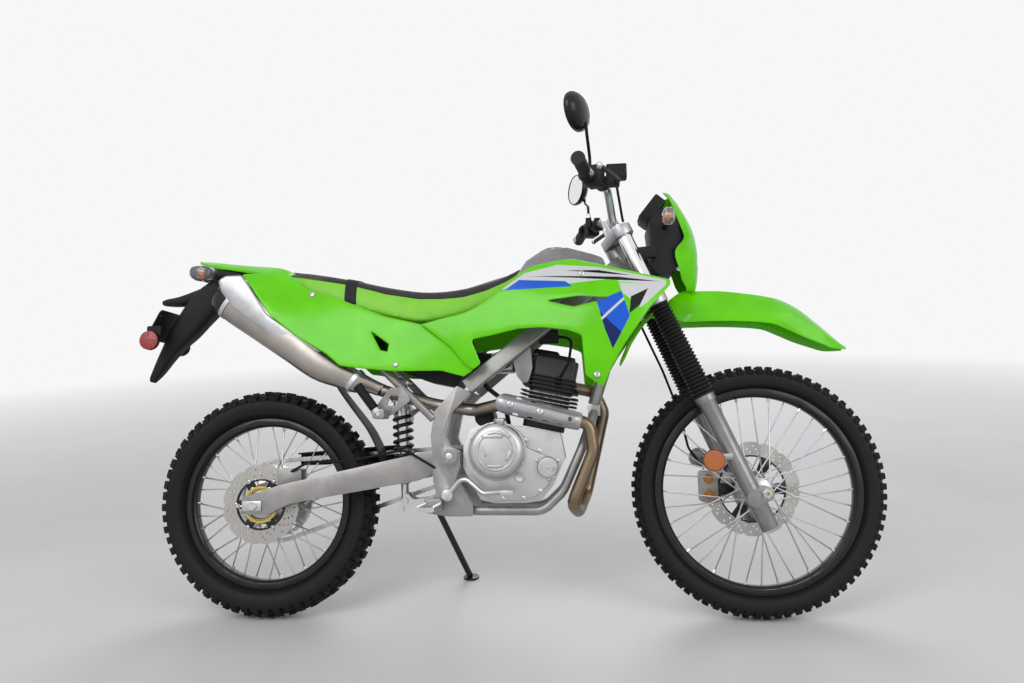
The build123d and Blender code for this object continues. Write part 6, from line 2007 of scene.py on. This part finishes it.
moved = np.array([v.co for v in seat.data.vertices]) - rest
reach = np.linalg.norm(moved, axis=1, keepdims=True)
moved *= np.minimum(1, 0.004 / np.maximum(reach, 1e-9))
seat.data.vertices.foreach_set("co", (rest + moved).ravel().astype(np.float32))
modifier(seat, "SMOOTH", "settled_foam", factor=0.5, iterations=6)
modifier(seat, "SUBSURF", "fine_cover", levels=1, render_levels=1)
baked(seat)
spots = upright([v.co for v in seat.data.vertices])
rows = np.array(SEAT_ROWS, float)
join_z = np.interp(spots[:, 0], rows[:, 0], rows[:, 3])
join_y = np.interp(spots[:, 0], rows[:, 0], rows[:, 2])
above = (spots[:, 2] - join_z) + (join_y - np.abs(spots[:, 1])) * 0.25
mark = seat.data.attributes.new("above_join", "FLOAT", "POINT")
mark.data.foreach_set("value", above.astype(np.float32))
SEAT_GREEN = (0.25, 0.70, 0.04)
seat_cover = Finish("two_tone_vinyl", IOR=1.5, Specular_IOR_Level=0.4)
spot = seat_cover.place()
level = Level(seat_cover.tree, seat_cover.node("Attribute", {"attribute_name": "above_join"}).outputs["Fac"])
cloud = seat_cover.noise(spot, 0.02, 4).rise(0.35, 0.7)
green_side = seat_cover.mix(cloud, tuple(c * 0.9 for c in SEAT_GREEN), SEAT_GREEN)
black_top = seat_cover.mix(cloud, (0.014, 0.014, 0.015), (0.02, 0.02, 0.022))
top = level.rise(-0.4, 0.4)
seam = 1 - ((level - 2.2).size() / 1.1).low(1.0)
seat_cover.set(Base_Color=seat_cover.mix(top, green_side, black_top))
seat_cover.set(Roughness=top * 0.12 + 0.42 + seat_cover.noise(spot, 0.3, 3) * 0.12)
grain = seat_cover.noise(spot, 0.9, 2) * 0.5 + seat_cover.noise(spot, 2.4, 2) * 0.5
seat_cover.bump(grain * 0.35 - seam, 0.35, 0.0012)
settle(seat, seat_cover, "chassis", "seat_cover", "seat", crease=60)
from_above = seat.data
cover_tree = BVHTree.FromPolygons(
    [v.co for v in from_above.vertices], [p.vertices for p in from_above.polygons]
)
pipes = []


def on_cover(x, y, z, lift):
    """The nearest place on the cover, lifted off it, in upright mm."""
    place, normal, _, _ = cover_tree.find_nearest(park((x, y, z)))
    return Vector(upright([place + normal * lift / 1000])[0])


def seat_row(x):
    rows = np.array(SEAT_ROWS, float)
    return [float(np.interp(x, rows[:, 0], rows[:, column])) for column in range(1, 6)]


for side in (-1, 1):
    line = []
    for x in range(20, 742, 9):
        row = seat_row(x)
        line.append(on_cover(x, side * (row[1] + 1), row[2] + 1, 0.2))
    pipes.append(tube("seat_piping", line, 1.5, 6))
settle(joined("seat_piping", *pipes), black_plastic, "chassis", "seat_cover")
# passenger strap: flat webbing over the seat, tucked under its lower edges
strap_line = []
for share in np.linspace(-1, 1, 41):
    x = 268 - 8 * abs(share)
    top, join_y, join_z, low_y, low_z = seat_row(x)
    y = share * (low_y + 4)
    z = top + 10 if abs(share) < 0.85 else low_z + (1 - abs(share)) / 0.15 * (join_z - low_z) + 4
    place = on_cover(x, y, z, 1.0)
    strap_line.append(place)
points, faces = [], []
for place in strap_line:
    for dx, lift in ((-17, 0.0), (-15, 1.6), (15, 1.6), (17, 0.0)):
        spot_near = on_cover(place.x + dx, place.y, place.z, 1.2 + lift)
        points.append((place.x + dx, spot_near.y, spot_near.z))
for n in range(len(strap_line) - 1):
    for k in range(3):
        faces.append((4 * n + k, 4 * n + k + 1, 4 * n + k + 5, 4 * n + k + 4))
strap = shape("seat_strap", points, faces)
webbing = moulded("strap_webbing", (0.022, 0.022, 0.024), 0.7, grain=0.5)
modifier(strap, "SOLIDIFY", "web", thickness=0.0018, offset=-1)
baked(strap)
settle(strap, webbing, "chassis", "seat_cover")


# ---- Tail. A ridged green moulding over a black tray, a red lamp at its end, and under it a moulded
# tongue that carries the plate's bracket and the reflectors.
# (x, top z, half width, edge z)
TAIL_ROWS = [
    (112, 968, 80, 940), (80, 984, 86, 954), (44, 1000, 84, 968), (4, 1007, 80, 978), (-50, 1013, 74, 988),
    (-110, 1021, 67, 1000),
    (-160, 1028, 61, 1009), (-196, 1033, 54, 1019), (-212, 1034, 46, 1026),
]
rows = []
for x, top, w, z in TAIL_ROWS:
    half = [
        (0, top - 3), (w * 0.42, top - 1), (w * 0.52, top), (w * 0.6, top - 1.5), (w * 0.96, z + 6),
        (w, z + 3), (w, z - 3)
    ]
    rows.append(both_sides(x, half))
tail = sheet_loft("rear_fender_moulding", rows)
settle(tail, green_plastic, "chassis", "green_plastic", "rear_fender", crease=24)
softened("tail_tray", black_plastic, 2)
red = lens_finish("red_reflector", (0.62, 0.012, 0.008))
softened("tail_lamp", red, 3, 3)
# (back x, back z, front x, front z, half width) from the seat end out
TONGUE = [
    (-176, 985, -116, 948, 37), (-232, 948, -130, 920, 37), (-268, 905, -164, 886, 36),
    (-296, 862, -200, 850, 34), (-318, 826, -236, 812, 32),
    (-334, 786, -272, 782, 29), (-352, 746, -306, 746, 25), (-368, 710, -336, 706, 19),
    (-377, 690, -354, 686, 13), (-378, 680, -364, 676, 7),
]
ARM = [
    (-170, 978, -178, 930, 30), (-232, 954, -236, 912, 27), (-290, 935, -292, 905, 22),
    (-330, 928, -330, 907, 18), (-345, 923, -343, 909, 13)
]


def pod(name, stations, square=0.55, sides=32):
    """A smooth solid round stations of (back x, back z, front x, front z, half width)."""
    rings = []
    for back_x, back_z, front_x, front_z, half in smoothed(stations):
        ring = []
        for k in range(sides):
            a = math.tau * k / sides
            u = math.copysign(abs(math.cos(a)) ** square, math.cos(a))
            v = math.copysign(abs(math.sin(a)) ** square, math.sin(a))
            mid_x, mid_z = (back_x + front_x) / 2, (back_z + front_z) / 2
            ring.append((mid_x + (front_x - back_x) / 2 * u, half * v, mid_z + (front_z - back_z) / 2 * u))
        rings.append(ring)
    return ringed_loft(name, rings)


tongue = pod("plate_tongue", TONGUE)
arm = pod("plate_arm", ARM, 0.7)
facing, down = Vector((-0.88, 0, 0.47)), Vector((0.47, 0, 0.88))
rings = []
for depth in (0, -3.6):
    ring = []
    for y, t, start in ((73, 36, 0), (-73, 36, 90), (-73, -36, 180), (73, -36, 270)):
        for k in range(6):
            a = math.radians(start + 18 * k)
            ring.append(
                tuple(
                    Vector((-330, 0, 842)) + facing * depth + down * (t + 12 * math.sin(a))
                    + Vector((0, y + 12 * math.cos(a), 0))
                )
            )
    rings.append(ring)
plate = ringed_loft("plate_back", rings)
for y, t in ((-70, -30), (70, -30), (-70, 30), (70, 30)):
    hole = revolved(
        "plate_hole", Vector((-330, 0, 842)) + down * t + Vector((0, y, 0)) + facing * 6, -facing,
        [(0, 0.1), (0, 3.5), (18, 3.5), (18, 0.1)], 20
    )
    modifier(plate, "BOOLEAN", "hole", operation="DIFFERENCE", solver="EXACT", object=hole)
    baked(plate)
    bpy.data.objects.remove(hole)
holder = [tongue, arm, plate]
for side in (-1, 1):
    low_y, high_y = sorted((side * 80.5, side * 85.5))
    holder.append(rounded_box("reflector_bracket", (-347, low_y, 808), (-305, high_y, 836), 6, axis=1))
    holder.append(
        turned(
            "reflector_cup", (-335, side * 89, 793), [(-5, 0.1), (-5, 22), (-3, 27), (5, 28), (5, 0.1)], 36
        )
    )
settle(joined("plate_holder_mouldings", *holder), black_plastic, "chassis", "black_plastic", "plate_holder")
discs = []
for side in (-1, 1):
    face = turned(
        "rear_reflector_face", (-335, side * 95, 793),
        [(side * 0, 27.4), (side * 2.5, 27), (side * 3.8, 25), (side * 4.4, 0.1)], 36, closed=False
    )
    discs.append(face)
settle(joined("tail_reflectors", *discs), red, "chassis", "red_lens")


# ---- Foot controls and side stand. Folded steel pegs with teeth, rubber passenger pegs on cut steel
# brackets, zinc plated levers and a black painted stand.
pieces = []
for side in (-1, 1):
    outline = [
        (442, 606, 10), (420, 638, 10), (386, 640, 12), (350, 596, 10), (330, 570, 10), (346, 552, 10),
        (392, 566, 14)
    ]
    bracket = skin(
        "peg_bracket", outline, lambda x, z: side * 130.8,
        [[(374, 590, 5), (402, 588, 5), (408, 616, 5), (384, 618, 5)]], 7.5, 0.0, 40, NO_ROWS
    )
    bevelled(bracket, 0.0012)
    dress(bracket, frame_silver)
    start, up_peg = Vector((362, side * 182, 570)), Vector((-0.6, 0, 0.8))
    section = [(0, 0.1), (0, 12.8), (14, 12.8), (15, 10)]
    for n in range(12):
        base = 16 + n * 5.8
        section += [(base, 11.6), (base + 1, 12.8), (base + 3.8, 12.8), (base + 4.8, 11.6)]
    section += [(87, 13.2), (90, 13.2), (92, 11), (92, 0.1)]
    peg = revolved("peg_rubber", start, up_peg, section, 20)
    dress(peg, gaiter_rubber)
    ferrule = revolved(
        "peg_ferrule", start - up_peg * 1, up_peg, [(0, 0.1), (0, 13.2), (12, 13.4), (12, 0.1)], 20
    )
    dress(ferrule, clean_silver)
    low_y, high_y = sorted((side * 131, side * 191))
    block = rounded_box("peg_hinge", (350, low_y, 553), (382, high_y, 579), 7, axis=1)
    bevelled(block, 0.001)
    dress(block, frame_silver)
    pin = turned("peg_pin", (366, side * 160, 566), [(-33, 0.1), (-33, 5), (33, 5), (33, 0.1)], 16)
    dress(pin, dull_steel)
    pieces += [bracket, peg, ferrule, block, pin]
# rider pegs: a folded steel plate with teeth along both edges, in a forged fork on the casting.
for side in (-1, 1):
    low_y, high_y = sorted((side * 118.4, side * 152))
    clevis = rounded_box("peg_clevis", (484, low_y, 305), (528, high_y, 339), 8, axis=1)
    bevelled(clevis, 0.0015)
    dress(clevis, frame_silver)
    low_y, high_y = sorted((side * 152, side * 263))
    tread = rounded_box("peg_tread", (484, low_y, 315), (529, high_y, 327), 5, axis=1)
    dress(tread, dull_steel)
    pieces += [clevis, tread]
    for x in (485, 525):
        for n in range(9):
            y = side * (158 + n * 12)
            tooth_points = [
                (x, y - 4, 326), (x + 3, y - 4, 326), (x + 3, y + 4, 326), (x, y + 4, 326),
                (x, y - 1.5, 331), (x + 3, y - 1.5, 331), (x + 3, y + 1.5, 331), (x, y + 1.5, 331)
            ]
            tooth_piece = shape("peg_tooth", tooth_points, cube)
            dress(tooth_piece, dull_steel)
            pieces.append(tooth_piece)
settle(joined("foot_peg_assemblies", *pieces), None, "chassis", "steel", "foot_pegs")
for node, finish in (("side_stand", black_paint), ("foot_levers", dull_steel)):
    softened(node, finish)


# ---- Camera. A wide lens two metres off on the machine's right, at about waist height, turned a few
# degrees towards the rear wheel and tipped as much down.
camera_data = bpy.data.cameras.new("camera")
camera_data.sensor_width = 36
camera_data.lens = 27.364
CAMERA_AT = (0.899469, -2.078129, 0.947936)
camera_data.clip_end = 60
camera = linked("camera", camera_data)
turn, dip, roll = math.radians(4.847), math.radians(4.856), math.radians(-1.893)
ahead = Vector((-math.sin(turn) * math.cos(dip), math.cos(turn) * math.cos(dip), -math.sin(dip)))
right = ahead.cross(Vector((0, 0, 1))).normalized()
above = right.cross(ahead)
rolled = right * math.cos(roll) + above * math.sin(roll)
above = above * math.cos(roll) - right * math.sin(roll)
right = rolled
camera.matrix_world = Matrix((
    (right.x, above.x, -ahead.x, CAMERA_AT[0] + SHIFT.x),
    (right.y, above.y, -ahead.y, CAMERA_AT[1] + SHIFT.y),
    (right.z, above.z, -ahead.z, CAMERA_AT[2] + SHIFT.z),
    (0, 0, 0, 1),
))
bpy.context.scene.camera = camera
bpy.context.scene.view_settings.view_transform = "Standard"


# ---- Floor and light. A pale smooth floor that fades to white far off, and three large soft lamps, in
# a white room whose light on the machine is dimmer than the white that the camera sees.
room = bpy.data.worlds.new("room")
bpy.context.scene.world = room
room.use_nodes = True
tree = room.node_tree
tree.nodes.clear()
rays = tree.nodes.new("ShaderNodeLightPath").outputs
seen = Level(tree, rays["Is Camera Ray"]).high(Level(tree, rays["Is Transmission Ray"]))
seen = seen.high(Level(tree, rays["Is Glossy Ray"]))
either = tree.nodes.new("ShaderNodeMixShader")
tree.links.new(seen.socket, either.inputs[0])
for n, colour, strength in ((1, (0.86, 0.87, 0.9, 1), 0.42), (2, (0.93, 0.93, 0.94, 1), 1.0)):
    glow = tree.nodes.new("ShaderNodeBackground")
    glow.inputs[0].default_value = colour
    glow.inputs[1].default_value = strength
    tree.links.new(glow.outputs[0], either.inputs[n])
tree.links.new(either.outputs[0], tree.nodes.new("ShaderNodeOutputWorld").inputs[0])


def lamp(name, place, aim, size, power):
    light = bpy.data.lights.new(name, "AREA")
    light.size = size
    light.energy = power
    holder = linked(name, light)
    holder.location = place
    holder.rotation_euler = (Vector(aim) - Vector(place)).to_track_quat("-Z", "Y").to_euler()


lamp("key_lamp", (-1.6, -3.2, 3.4), (0, 0, 0.5), 2.4, 74)
lamp("fill_lamp", (2.8, -2.6, 2.2), (0.2, 0, 0.5), 2.2, 38)
lamp("back_lamp", (0.4, 3.4, 3.0), (0, 0, 0.5), 2.6, 55)
floor_mesh = bpy.data.meshes.new("floor")
floor_mesh.from_pydata([(-30, -30, 0), (30, -30, 0), (30, 30, 0), (-30, 30, 0)], [], [(0, 1, 2, 3)])
floor = linked("floor", floor_mesh)
pale = Finish("pale_floor", Base_Color=(0.72, 0.72, 0.73), Roughness=0.55)
spot = pale.node("TexCoord").outputs["Object"]
grey = pale.noise(spot, 1.5, 6, 0.6).rise(0.3, 0.8)
pale.set(Base_Color=pale.mix(grey, (0.69, 0.69, 0.70), (0.75, 0.75, 0.755)))
along, across, _ = pale.axes(spot)
far = ((along * along + across * across) ** 0.5).rise(2.2, 7.0)
rays = pale.node("LightPath").outputs
ray = Level(pale.tree, rays["Is Camera Ray"]).high(Level(pale.tree, rays["Is Glossy Ray"])).high(
    Level(pale.tree, rays["Is Transmission Ray"])
)
glow = pale.node("Emission", Color=(0.93, 0.93, 0.94, 1), Strength=1.0)
fade = pale.node("MixShader", _0=far * ray, _1=pale.shader.outputs[0], _2=glow.outputs[0])
pale.tree.links.new(fade.outputs[0], pale.tree.nodes["Material Output"].inputs[0])
dress(floor, pale)
